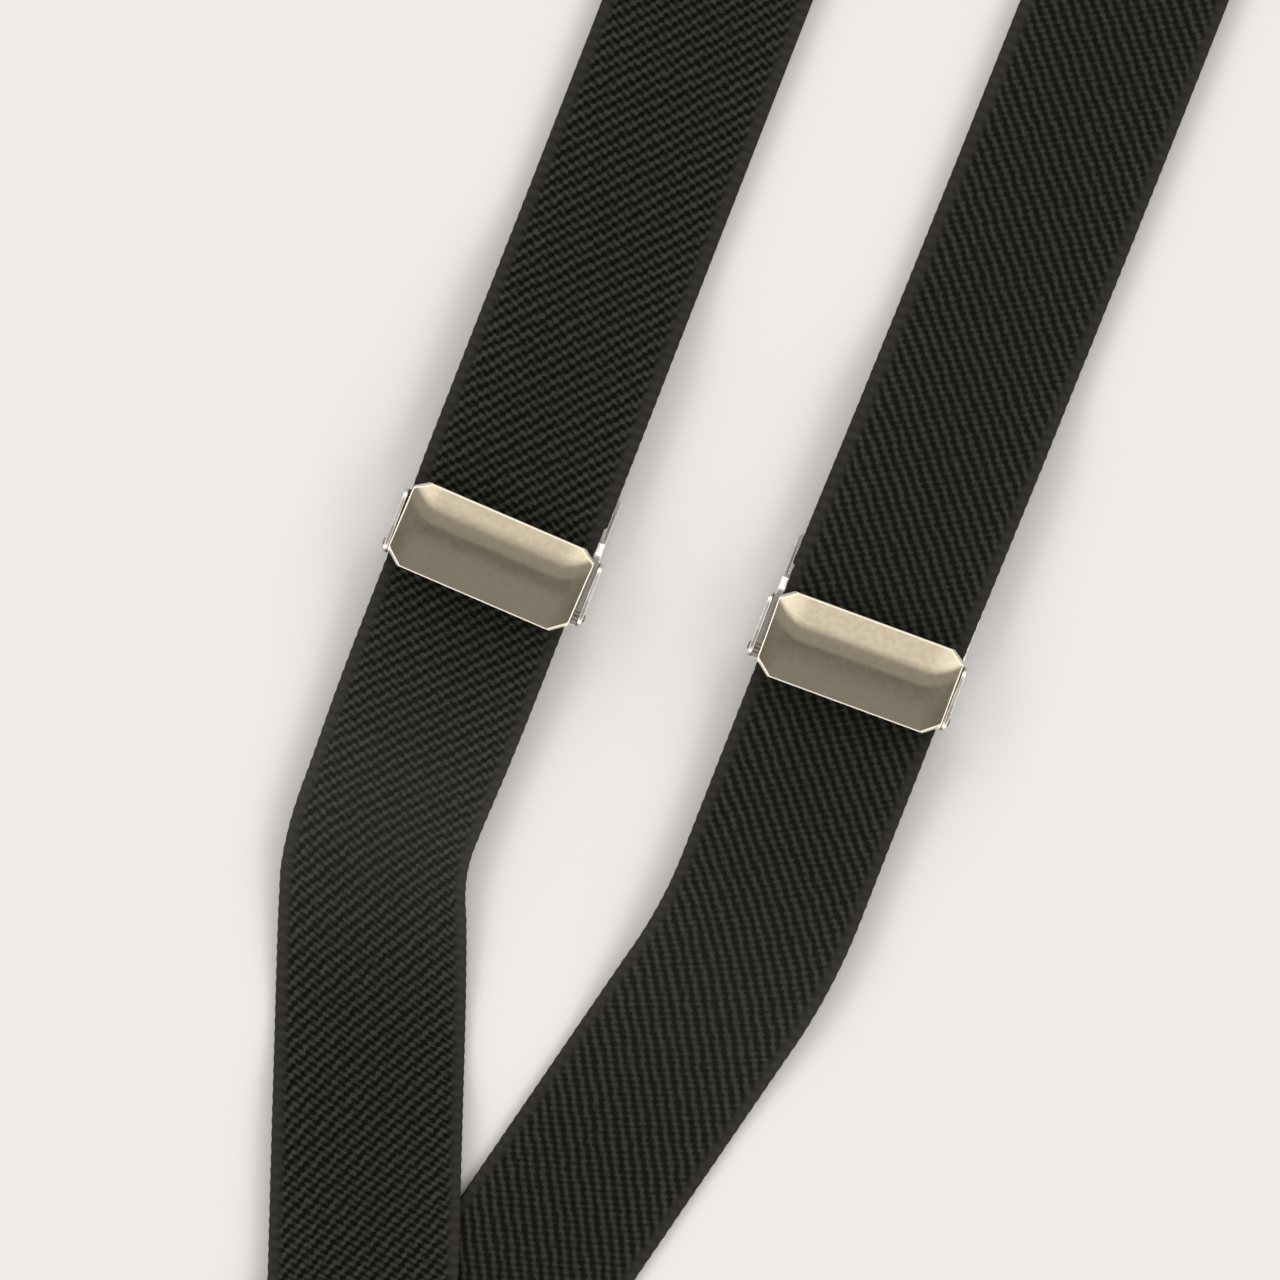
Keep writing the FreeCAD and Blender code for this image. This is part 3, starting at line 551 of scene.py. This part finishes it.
def shoulder_bend(name, side, material):
    """From under the patch, through the V and the bend.

    The weft turns more slowly than the strap does, so the weave is sheared next to the bend.
    """
    x, bend_y, last = side["x"], side["bend_y"], bend_end(side)
    start = side["end_y"]
    plan, at = rounded_path([(x * start / bend_y, start, 0), (x, bend_y, side["bend_r"]), (x, last, 0)])
    way = np.gradient(plan, axis=0)
    turned = np.arctan2(-way[:, 0], way[:, 1])
    shared = np.interp(plan[:, 1], [SHEAR_FROM, bend_y - 3, last], [1, 0.3, 0])
    weft = shared * math.atan2(-x, bend_y)
    across = np.stack([np.cos(weft), np.sin(weft), np.zeros(len(plan))], axis=1)
    centres = np.column_stack([plan, shoulder_height(side, plan[:, 1])])
    narrowing = 1 - (1 - pinch(side, plan[:, 1])) / np.cos(turned - weft)
    along = (last - at[-1] + at) * side["relaxed"]
    return webbing(f"{name}_strap_shoulder", centres, along, material, across_way=across,
                   narrowing=narrowing, tone=painted_bend_light(side, plan[:, 1]))


def dent(obj, y, middle_z, half):
    """Presses a strap's upper face in along a line across it, where the opened cover's edge comes down."""
    for vertex in obj.data.vertices:
        share = math.exp(-(((vertex.co.y / MM - y) / DENT_LENGTH) ** 2))
        above = np.clip((vertex.co.z / MM - middle_z) / half, 0, 1)
        vertex.co.z -= DENT_DEPTH * share * above * MM


def frame_x(side):
    """Where the middle of the adjuster's frame is, and of the end sewn on it."""
    return side["x"] + side["inward"] * side["frame_shift"]


def blended(piece, node):
    """Bakes a stretch of webbing's placing into its mesh, leaving it on no body, and hides the solid that
    it stands in for.
    """
    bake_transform(piece)
    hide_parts(node)


def strap_before_adjuster(name, side, material):
    """The straight run between the bend and the adjuster, which gets longer as the adjuster slides."""
    x, relaxed = side["x"], side["relaxed"]
    low, high = bend_end(side), side["adjuster_y"] + HELD_FROM
    rows = np.arange(low - 0.4, high + 0.4, 0.2)
    centres = [(x, y, RUN_LIFT + WEB_THICK / 2) for y in rows]
    run = webbing(f"{name}_strap_run", centres, rows * relaxed, material, sliding=relaxed,
                  narrowing=pinch(side, rows), tone=painted_bend_light(side, rows))
    blended(run, f"{name}_strap")


def strap_in_adjuster(name, side, material):
    """The webbing that rises into the adjuster, runs through it and comes down again."""
    y, relaxed, half = side["adjuster_y"], side["relaxed"], WEB_THICK / 2
    path = [
        (HELD_FROM, RUN_LIFT + half, 0), (HELD_FROM + 4, RUN_LIFT + half, 14), (-10.0, HIGH_Z + half, 14),
        (31.5, HIGH_Z + half, 9), (43.0, LOW_Z + half, 9), (HELD_TO, LOW_Z + half, 0),
    ]
    centres, along = in_profile(path, side["x"], y)
    centres[:, 0] += wander(side, centres[:, 1])
    narrowing = pinch(side, centres[:, 1]) + smooth_step(centres[:, 1], y - 4, y + 12, 0, -side["swell"])
    along = np.where(centres[:, 1] < y, along * relaxed, along)
    held = webbing(f"{name}_strap_held", centres, along, material, narrowing=narrowing,
                   tone=painted_bend_light(side, centres[:, 1]))
    dent(held, y + DENT_Y, HIGH_Z + half, half)
    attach(held, f"{name}_adjuster")
    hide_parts(f"{name}_strap_gripped")


def strap_layers(name, side, material):
    """The two layers between adjuster and ring, which get shorter as the adjuster slides."""
    x, half = side["x"], WEB_THICK / 2
    low, high = side["adjuster_y"] + HELD_TO, side["ring_y"] - TURN_LEG
    rows = np.linspace(low - 0.3, high + 0.3, int((high - low) / SLIDING_STEP))
    centres = np.column_stack([x + wander(side, rows), rows, np.full(len(rows), LOW_Z + half)])
    swell = smooth_step(rows, high - 80, high - 5, -side["swell"], 0)
    upper = webbing(f"{name}_strap_upper", centres, rows, material, sliding=1.0, narrowing=swell)
    blended(upper, f"{name}_strap_front")

    low = side["adjuster_y"] + FOLD_LOW_TO
    rows = np.linspace(low - 0.3, high + 0.3, int((high - low) / SLIDING_STEP))
    drift = smooth_step(rows, high - 60, high, frame_x(side), x) + wander(side, rows)
    centres = np.column_stack([drift, rows, np.full(len(rows), half)])
    under = webbing(f"{name}_strap_under", centres, rows, material, sliding=1.0)
    blended(under, f"{name}_strap_return")


def strap_round_ring(name, side, material):
    """The turn that holds the ring."""
    radius, half = AXIS_Z - WEB_THICK / 2, WEB_THICK / 2
    path = [
        (-TURN_LEG, LOW_Z + half, 0), (-16.0, LOW_Z + half, 8), (-5.0, HIGH_Z + half, 8),
        (radius, HIGH_Z + half, radius), (radius, half, radius), (-TURN_LEG, half, 0),
    ]
    loop = webbing(f"{name}_strap_loop", *in_profile(path, side["x"], side["ring_y"]), material)
    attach(loop, f"{name}_turn")
    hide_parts(f"{name}_strap_turn")


def strap_tail(name, side, material):
    """The end that is folded round the adjuster's tail bar and sewn on the lower layer."""
    half = WEB_THICK / 2
    sewn_z = WEB_THICK + SEWN_GAP + half
    path = [
        (FOLD_LOW_TO, half, 0), (FOLD_TIP, half, FOLD_R), (FOLD_TIP, half + 2 * FOLD_R, FOLD_R),
        (15.0, half + 2 * FOLD_R, 3), (18.5, sewn_z, 3), (30.0, sewn_z, 0),
    ]
    centres, along = in_profile(path, frame_x(side), side["adjuster_y"])
    centres[:, 0] += wander(side, centres[:, 1])
    tail = webbing(f"{name}_strap_tail", centres, along, material)
    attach(tail, f"{name}_adjuster")
    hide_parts(f"{name}_strap_end")


def front_strap(name, side, material):
    """All the webbing of one front strap, in the stretches that move with different bodies."""
    bend = shoulder_bend(name, side, material)
    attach(bend, "yoke")
    strap_before_adjuster(name, side, material)
    strap_in_adjuster(name, side, material)
    strap_layers(name, side, material)
    strap_round_ring(name, side, material)
    strap_tail(name, side, material)


def back_strap(material):
    """The back strap and its sewn loop."""
    half = WEB_THICK / 2
    path = [
        (BACK_SPLIT_Y, half, 0), (PATCH_LOW_Y - 9, half, 8),
        (PATCH_LOW_Y - 1, PATCH_INNER_T + half, 8), (BACK_START_Y, PATCH_INNER_T + half, 0),
    ]
    run = webbing("back_strap_run", *in_profile(path, 0), material)
    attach(run, "yoke")
    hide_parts("back_strap")
    y, radius, over_z = BACK_RING_Y, AXIS_Z - half, WEB_THICK + SEWN_GAP + half
    path = [
        (BACK_SPLIT_Y, half, 0), (y + BACK_TAIL + 9, half, 6), (y + BACK_TAIL + 1, over_z, 6),
        (y + 16, over_z, 8), (y + 5, HIGH_Z + half, 8), (y - radius, HIGH_Z + half, radius),
        (y - radius, half, radius), (y + BACK_TAIL, half, 0),
    ]
    loop = webbing("back_strap_end", *in_profile(path, 0), material)
    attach(loop, "yoke")
    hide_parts("back_strap_loop")


# --- Adjuster covers -------------------------------------------------------------------------------

COVER_HALF_W, COVER_HALF_L = 12.7, 5.8
COVER_TOP_Z = 8.9
COVER_SHEET = 0.6
COVER_ROWS, COVER_COLUMNS = 64, 120
UNDERSIDE = (0.995, 0.99)  # the lower face is this much smaller, across and along the strap
COVER_FOLDS = ((1.75, 18.0, 0.17), (-0.05, 6.5, 0.10))  # where, by how many degrees and how softly it bends
FOLD_TAPER, FOLD_TAPER_LENGTH = 2.4, 4.5  # the slope narrows by this much, along this length of each end
CLIP_SIDE_CUT = (1.75, 1.25)  # corner cuts, across and along the strap
PATCH_SIDE_CUT = (2.05, 1.6)
CUT_RIM, LOW_RIM, SIDE_RIM = (0.50, 0.26), (0.32, 0.13), (0.28, 0.09)  # width and drop of the rolled rims
RIM_SHINE = 1.4  # how soon the painted highlight is at full strength along a rim's roll
CROWN_FROM, CROWN_LENGTH, CROWN_ANGLE = -5.8, 5.4, 3.3  # the flat part tips over slightly before its fold
END_WIDTH, END_DROP = 3.0, 0.27  # the plate's ends come down over this width, by this much
PIN_Y, PIN_Z = -3.1, 7.5
BLADE_HALF_W, BLADE_TOP, BLADE_CLEAR = 11.6, COVER_TOP_Z - 0.4, 0.05
BLADE_FROM, BLADE_TO = PIN_Y + 0.75, PIN_Y + 1.55
TOOTH_PITCH, TOOTH_DEPTH, TOOTH_GAP = 1.6, 0.8, 0.1
CHEEK_R, CHEEK_TOP = 1.4, 8.45
CHEEK_FROM, CHEEK_TO = 12.06, 12.64  # each cheek's two faces, from the plate's middle
DENT_Y, DENT_LENGTH, DENT_DEPTH = -4.0, 1.6, 0.42  # in the webbing under the edge of the opened cover


def cover_half_width(y):
    """Half of the plate's width at y, with its corners cut off."""
    low = np.maximum(0, 1 - (y + COVER_HALF_L) / PATCH_SIDE_CUT[1]) * PATCH_SIDE_CUT[0]
    high = np.maximum(0, 1 - (COVER_HALF_L - y) / CLIP_SIDE_CUT[1]) * CLIP_SIDE_CUT[0]
    return COVER_HALF_W - low - high


def rim_drop(x, y):
    """How far the rolled rims come down, and how far along its roll a point is, from 0 to 1."""
    from_end, from_low, from_high = COVER_HALF_W - abs(x), y + COVER_HALF_L, COVER_HALF_L - y
    edges = [(from_low, LOW_RIM), (from_end, SIDE_RIM), (from_high, SIDE_RIM)]
    for (across, length), nearest in ((PATCH_SIDE_CUT, from_low), (CLIP_SIDE_CUT, from_high)):
        inside = (from_end * length + nearest * across - across * length) / math.hypot(across, length)
        edges.append((inside, CUT_RIM))
    shares = [np.clip(1 - inside / width, 0, 1) for inside, (width, _) in edges]
    drops = [drop * share**2 for share, (_, (_, drop)) in zip(shares, edges)]
    return np.maximum.reduce(drops), np.maximum.reduce(shares)


def cover_height(x, y, side):
    """The plate's upper face: flat, then sloping down towards the clip, with every edge rolled over."""
    from_end = COVER_HALF_W - abs(x)
    end = END_DROP * np.clip(1 - from_end / END_WIDTH, 0, 1) ** 2
    taper = FOLD_TAPER * np.clip(1 - from_end / FOLD_TAPER_LENGTH, 0, 1) ** 2
    share = (y - CROWN_FROM) / CROWN_LENGTH
    power = side["crown"]
    crown = np.where(share < 1, np.maximum(share, 0) ** power / power, share - 1 + 1 / power)
    fall = rim_drop(x, y)[0] + end + math.tan(math.radians(CROWN_ANGLE)) * CROWN_LENGTH * crown
    for fold_y, angle, soft in COVER_FOLDS:
        soft = soft * side["fold_soft"]
        past = (y - fold_y - side["fold_shift"] - taper) / soft
        fall = fall + math.tan(math.radians(angle)) * soft * np.log1p(np.exp(past))
    return COVER_TOP_Z - fall


def dense_at_ends(count, amount=0.75):
    """Numbers from -1 to 1 that lie closer together near both ends."""
    t = np.linspace(0, 1, count)
    return 2 * (t - amount * np.sin(2 * math.pi * t) / (2 * math.pi)) - 1


def closed_sheet(top, bottom):
    """Points and faces of a sheet between two grids of the same shape."""
    rows, columns = top.shape[:2]
    size = rows * columns
    points = np.concatenate([top.reshape(-1, 3), bottom.reshape(-1, 3)])
    faces = []
    for i in range(rows - 1):
        for k in range(columns - 1):
            a = i * columns + k
            faces.append((a, a + 1, a + columns + 1, a + columns))
            faces.append((size + a, size + a + columns, size + a + columns + 1, size + a + 1))
    border = [k for k in range(columns)] + [i * columns + columns - 1 for i in range(1, rows)]
    border += [(rows - 1) * columns + k for k in range(columns - 2, -1, -1)]
    border += [i * columns for i in range(rows - 2, 0, -1)]
    for a, b in zip(border, border[1:] + border[:1]):
        faces.append((b, a, size + a, size + b))
    return points, faces


def prism(outline, place, low, high):
    """Points and faces of an outline (a, b) pushed from low to high; place makes (x, y, z) of (a, b, c)."""
    count = len(outline)
    points = [place(a, b, low) for a, b in outline] + [place(a, b, high) for a, b in outline]
    faces = [tuple(range(count))[::-1], tuple(range(count, 2 * count))]
    faces += [(k, (k + 1) % count, count + (k + 1) % count, count + k) for k in range(count)]
    return np.array(points), faces


def joined(parts):
    """One list of points and faces from several."""
    points, faces, first = [], [], 0
    for part_points, part_faces in parts:
        points.append(part_points)
        faces += [tuple(first + k for k in face) for face in part_faces]
        first += len(part_points)
    return np.concatenate(points), faces


def arc(centre_a, centre_b, radius, start, end, count):
    """Points of an arc, with angles in degrees."""
    angles = np.radians(np.linspace(start, end, count))
    return [(centre_a + radius * math.cos(t), centre_b + radius * math.sin(t)) for t in angles]


def cover_blade():
    """The toothed blade that holds the strap, as an outline across the strap."""
    tip = HIGH_Z + WEB_THICK + BLADE_CLEAR
    root = tip + TOOTH_DEPTH
    outline = [(BLADE_HALF_W, BLADE_TOP), (-BLADE_HALF_W, BLADE_TOP)]
    for k in range(int(2 * BLADE_HALF_W / TOOTH_PITCH)):
        a = -BLADE_HALF_W + k * TOOTH_PITCH
        outline += [(a + TOOTH_GAP, root), (a + TOOTH_PITCH / 2, tip), (a + TOOTH_PITCH - TOOTH_GAP, root)]
    outline.append((BLADE_HALF_W, root))
    return prism(outline, lambda a, b, c: (a, c, b), BLADE_FROM, BLADE_TO)


def cover_cheeks():
    """The two small plates under the ends of the cover, which the pin goes into."""
    outline = arc(PIN_Y, PIN_Z, CHEEK_R, 180, 360, 12)
    outline += [(PIN_Y + CHEEK_R, CHEEK_TOP), (PIN_Y - CHEEK_R, CHEEK_TOP)]
    ends = (-CHEEK_TO, -CHEEK_FROM), (CHEEK_FROM, CHEEK_TO)
    return [prism(outline, lambda a, b, c: (c, a, b), low, high) for low, high in ends]


def turned_in_plan(points, degrees):
    """Points turned about the vertical through the origin, anticlockwise from above."""
    angle = math.radians(degrees)
    cosine, sine = math.cos(angle), math.sin(angle)
    return points @ np.array([[cosine, sine, 0], [-sine, cosine, 0], [0, 0, 1]])


def adjuster_cover(name, side, material):
    """The cover plate with its rolled rims, blade and cheeks, a little askew as the real ones are."""
    y = np.array([COVER_HALF_L * v for v in dense_at_ends(COVER_ROWS)])
    half = cover_half_width(y)
    x = dense_at_ends(COVER_COLUMNS, 0.9)[None, :] * half[:, None]
    y = np.tile(y[:, None], (1, x.shape[1]))
    z = cover_height(x, y, side)
    top = np.stack([x, y, z], axis=2)
    bottom = np.stack([x * UNDERSIDE[0], y * UNDERSIDE[1], z - COVER_SHEET], axis=2)
    points, faces = joined([closed_sheet(top, bottom), cover_blade(), *cover_cheeks()])
    rim = np.zeros(len(points))
    # strength of the painted highlight on the rolled rims
    rim[:x.size] = rim[x.size:2 * x.size] = np.clip(RIM_SHINE * rim_drop(x, y)[1], 0, 1).ravel()
    points = turned_in_plan(points, side["askew"])
    points = points + (side["x"] + side["inward"] * side["cover_shift"], side["adjuster_y"], 0)
    obj = add_mesh(f"{name}_cover_plate", points, faces, material, {"rim": rim})
    sharpen(obj, 40)
    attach(obj, f"{name}_cover")
    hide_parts(f"{name}_adjuster_lever")


def sharpen(obj, angle):
    """Keeps edges that turn by more than angle degrees crisp."""
    obj.data.set_sharp_from_angle(angle=math.radians(angle))


# --- Patch -----------------------------------------------------------------------------------------

LEATHER_T = 1.1
LEATHER_FALL = 3.2  # the leather comes down over this length beside a strap
LEATHER_GAP = 0.05  # between the outer leather and what it lies on
LEATHER_RIM, LEATHER_RIM_WIDTH = 0.45, 0.9  # its edge is rounded down by this much, over this width
GROOVE, GROOVE_HALF = 0.16, 0.7  # the stitches pull a groove into it
CORNER_R = 4.0
STITCH_INSET, STITCH_PITCH, STITCH_LENGTH, STITCH_R = 3.0, 3.4, 2.5, 0.30
SEAM_HALF_W = 10.4  # of the seams across a strap
SEAM_Z = 2 * WEB_THICK + SEWN_GAP  # they lie on two layers of webbing


def patch_half_width(y):
    """Half of the patch's width at y, with round corners."""
    heights = [PATCH_LOW_Y, PATCH_WAIST_Y, PATCH_TOP_Y]
    wide = np.interp(y, heights, [PATCH_LOW_HALF, PATCH_WAIST_HALF, PATCH_TOP_HALF])
    near = np.clip(np.minimum(PATCH_TOP_Y - y, y - PATCH_LOW_Y), 0, CORNER_R)
    return wide - (CORNER_R - np.sqrt(CORNER_R**2 - (CORNER_R - near) ** 2))


def over_strap(outside):
    """1 on a strap and 0 well beside it, for the distance outside its edges."""
    t = np.clip(1 - outside / LEATHER_FALL, 0, 1)
    return t * t * (3 - 2 * t)


def leather_under(x, y):
    """Height of what lies under the outer leather."""
    height = np.full(np.shape(x), PATCH_INNER_T)
    for side in SIDES.values():
        run = math.hypot(side["x"], side["bend_y"])
        across = abs(x * side["bend_y"] - y * side["x"]) / run - WEB_WIDTH / 2
        past_end = side["end_y"] * run / side["bend_y"] - (x * side["x"] + y * side["bend_y"]) / run
        outside = np.maximum(np.maximum(across, past_end), 0)
        height = np.maximum(height, PATCH_INNER_T + (side["lift"] + WEB_THICK) * over_strap(outside))
    outside = np.maximum(np.maximum(abs(x) - WEB_WIDTH / 2, y - BACK_START_Y), 0)
    return np.maximum(height, PATCH_INNER_T + WEB_THICK * over_strap(outside))


def leather_top(x, y):
    """Height of the outer leather's upper face."""
    half = patch_half_width(y)
    inside = np.minimum(half - abs(x), np.minimum(PATCH_TOP_Y - y, y - PATCH_LOW_Y))
    rim = LEATHER_RIM * np.clip(1 - inside / LEATHER_RIM_WIDTH, 0, 1) ** 2
    groove = GROOVE * np.exp(-(((inside - STITCH_INSET) / GROOVE_HALF) ** 2))
    return leather_under(x, y) + LEATHER_GAP + LEATHER_T - rim - groove


def patch_leather(material):
    """The outer leather, draped over the straps' ends."""
    middle, reach = (PATCH_TOP_Y + PATCH_LOW_Y) / 2, (PATCH_TOP_Y - PATCH_LOW_Y) / 2
    y = middle + reach * dense_at_ends(150, 0.5)
    x = dense_at_ends(130, 0.5)[None, :] * patch_half_width(y)[:, None]
    y = np.tile(y[:, None], (1, x.shape[1]))
    top = np.stack([x, y, leather_top(x, y)], axis=2)
    bottom = np.stack([x, y, leather_under(x, y) + LEATHER_GAP], axis=2)
    obj = add_mesh("patch_leather", *closed_sheet(top, bottom), material)
    sharpen(obj, 60)
    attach(obj, "yoke")
    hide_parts("patch_outer")


def stitch(middle, way, length, radius, lean=0.12):
    """A short thread that dives into the material at both ends."""
    way = np.array(way, float) / np.linalg.norm(way)
    side = np.cross((0, 0, 1), way)
    side /= np.linalg.norm(side)
    up = np.cross(way, side)
    points, faces, ring = [], [], 8
    shares = np.linspace(-1, 1, 7)
    for share in shares:
        swell = radius * max(0.35, math.sqrt(1 - (0.92 * share) ** 2))
        centre = np.array(middle) + way * (share * length / 2) + side * (share * lean)
        centre = centre - up * (radius * 1.1 * share**4)
        for k in range(ring):
            t = 2 * math.pi * k / ring
            points.append(centre + swell * (math.cos(t) * side + math.sin(t) * up))
    for i in range(len(shares) - 1):
        for k in range(ring):
            a, b = i * ring + k, i * ring + (k + 1) % ring
            faces.append((a, b, b + ring, a + ring))
    faces += [tuple(range(ring))[::-1], tuple((len(shares) - 1) * ring + k for k in range(ring))]
    return np.array(points), faces


def stitch_row(path, lift):
    """Stitches along a path of (x, y), each resting at the height that lift gives."""
    path = np.array(path)
    lengths = np.concatenate([[0], np.cumsum(np.linalg.norm(np.diff(path, axis=0), axis=1))])
    count = max(1, round(lengths[-1] / STITCH_PITCH))
    half = 0.5 * STITCH_LENGTH / STITCH_PITCH
    parts = []
    for k in range(count):
        ends = [(k + 0.5 + way * half) * lengths[-1] / count for way in (-1, 1)]
        a, b = ([np.interp(at, lengths, path[:, axis]) for axis in range(2)] for at in ends)
        a3, b3 = np.array([*a, lift(*a)]), np.array([*b, lift(*b)])
        middle = (a3 + b3) / 2
        middle[2] = max(middle[2], float(lift(middle[0], middle[1])))
        parts.append(stitch(middle + (0, 0, STITCH_R * 0.55), b3 - a3, STITCH_LENGTH, STITCH_R))
    return parts


def patch_stitches(material):
    """The seam all round the patch."""
    top, low = PATCH_TOP_Y - STITCH_INSET, PATCH_LOW_Y + STITCH_INSET
    y = np.linspace(low, top, 80)
    inner_y = np.clip(y, low + 1, top - 1)
    half = np.minimum(patch_half_width(y), patch_half_width(inner_y)) - STITCH_INSET
    right = list(zip(half, y))
    outline = right + [(-a, b) for a, b in right[::-1]]
    parts = stitch_row(outline + outline[:1], lambda a, b: float(leather_top(np.array(a), np.array(b))))
    obj = add_mesh("patch_thread", *joined(parts), material)
    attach(obj, "yoke")
    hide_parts("patch_stitching")


def strap_stitches(name, node, body, x, y, rows, material):
    """Rows of stitches across a strap."""
    parts = []
    for row in rows:
        parts += stitch_row([(x - SEAM_HALF_W, y + row), (x + SEAM_HALF_W, y + row)], lambda a, b: SEAM_Z)
    obj = add_mesh(name, *joined(parts), material)
    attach(obj, body)
    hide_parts(node)


# --- Camera and light ------------------------------------------------------------------------------


def picture_camera():
    """Looks straight down at the adjusters, turned so that the straps lean to the right."""
    data = bpy.data.cameras.new("picture_camera")
    data.sensor_width = SENSOR
    data.lens = SENSOR * CAMERA_HEIGHT / VIEW_WIDTH
    data.clip_end = 20.0
    camera = bpy.data.objects.new("picture_camera", data)
    bpy.context.collection.objects.link(camera)
    camera.location = (LOOK_AT[0] * MM, LOOK_AT[1] * MM, CAMERA_HEIGHT * MM)
    camera.rotation_euler = (0.0, 0.0, LEAN)
    bpy.context.scene.camera = camera


def studio():
    """A pale room: dim overhead and bright low down, so that the cover plates show their folds."""
    world = bpy.data.worlds.new("studio")
    world.use_nodes = True
    tree = world.node_tree
    background = tree.nodes["Background"]
    way = tree.nodes.new("ShaderNodeTexCoord").outputs["Generated"]
    split = tree.nodes.new("ShaderNodeSeparateXYZ")
    tree.links.new(way, split.inputs[0])

    def math_node(operation, *values):
        node = tree.nodes.new("ShaderNodeMath")
        node.operation = operation
        for socket, value in zip(node.inputs, values):
            if isinstance(value, bpy.types.NodeSocket):
                tree.links.new(value, socket)
            else:
                socket.default_value = value
        return node.outputs[0]

    def sky_ramp(levels):
        ramp = tree.nodes.new("ShaderNodeValToRGB")
        tree.links.new(share, ramp.inputs["Fac"])
        stops = ramp.color_ramp.elements
        while len(stops) < len(levels):
            stops.new(0.5)
        for stop, (angle, level, tint) in zip(stops, levels):
            stop.position = angle / 180
            stop.color = tuple(level / SKY_SCALE * part for part in tint) + (1.0,)
        return ramp.outputs["Color"]

    share = math_node("DIVIDE", math_node("ARCCOSINE", split.outputs["Z"]), math.pi)
    across, along = (math_node("POWER", split.outputs[axis], 2.0) for axis in ("X", "Y"))
    sideways = math_node("DIVIDE", across, math_node("ADD", math_node("ADD", across, along), 1e-6))
    mix = tree.nodes.new("ShaderNodeMix")
    mix.data_type = "RGBA"
    tree.links.new(sideways, mix.inputs["Factor"])
    tree.links.new(sky_ramp(SKY_ALONG), mix.inputs["A"])
    tree.links.new(sky_ramp(SKY_ACROSS), mix.inputs["B"])
    tree.links.new(mix.outputs["Result"], background.inputs["Color"])
    background.inputs["Strength"].default_value = SKY_SCALE
    bpy.context.scene.world = world
    bpy.context.scene.view_settings.view_transform = "Standard"


def floor():
    """A pale surface just under the suspenders."""
    points = [(x * FLOOR_HALF, y * FLOOR_HALF, 0.0) for y in (-1, 1) for x in (-1, 1)]
    obj = add_mesh("floor", points, [(0, 1, 3, 2)], floor_material("pale_paper"))
    obj.location.z = -FLOOR_GAP * MM


# --- The scene -------------------------------------------------------------------------------------


def dress_frame():
    """Gives every CAD node that stays in view its finish."""
    plate = metal_material("nickel_plate", (0.52, 0.46, 0.345), 0.12, 0.03)
    bright = metal_material("bright_nickel", (0.55, 0.50, 0.41), 0.10, 0.0, 0.1)
    stamped = metal_material("stamped_nickel", (0.84, 0.81, 0.74), 0.2, 0.03, 0.24)
    pin = metal_material("pin_steel", (0.22, 0.20, 0.17), 0.35)
    nylon, thread = nylon_material("nylon"), thread_material("thread")
    leather = leather_material("leather")
    slots = {"webbing": None, "leather": leather, "thread": thread, "adjuster_metal": plate,
             "ring_wire": bright, "clip_metal": plate, "nylon": nylon}
    patch_leather(leather)
    patch_stitches(thread)
    for name, side in SIDES.items():
        adjuster_cover(name, side, plate)
        strap_stitches(f"{name}_end_thread", f"{name}_strap_end_seam", f"{name}_adjuster",
                       frame_x(side), side["adjuster_y"], (21.0, 27.0), thread)
    strap_stitches("back_end_thread", "back_strap_seam", "yoke", 0.0, BACK_RING_Y, (20.5, 28.5), thread)
    chosen = {part["node"]: slots[part["material_slot"]] for part in frame["record"]["subparts"]}
    for node, obj in frame["nodes"].items():
        if chosen[node] is None:
            continue
        obj.data.materials.clear()
        own = {"adjuster_frame": stamped, "adjuster_pin": pin}.get(node.split("_", 1)[1])
        obj.data.materials.append(own or chosen[node])


def main():
    twill = {name: webbing_material(name, name.endswith("mirrored")) for name in TWILLS}
    dress_frame()
    for name, side in SIDES.items():
        front_strap(name, side, twill[side["twill"]])
    back_strap(twill["webbing_twill"])
    floor()
    studio()
    picture_camera()


main()
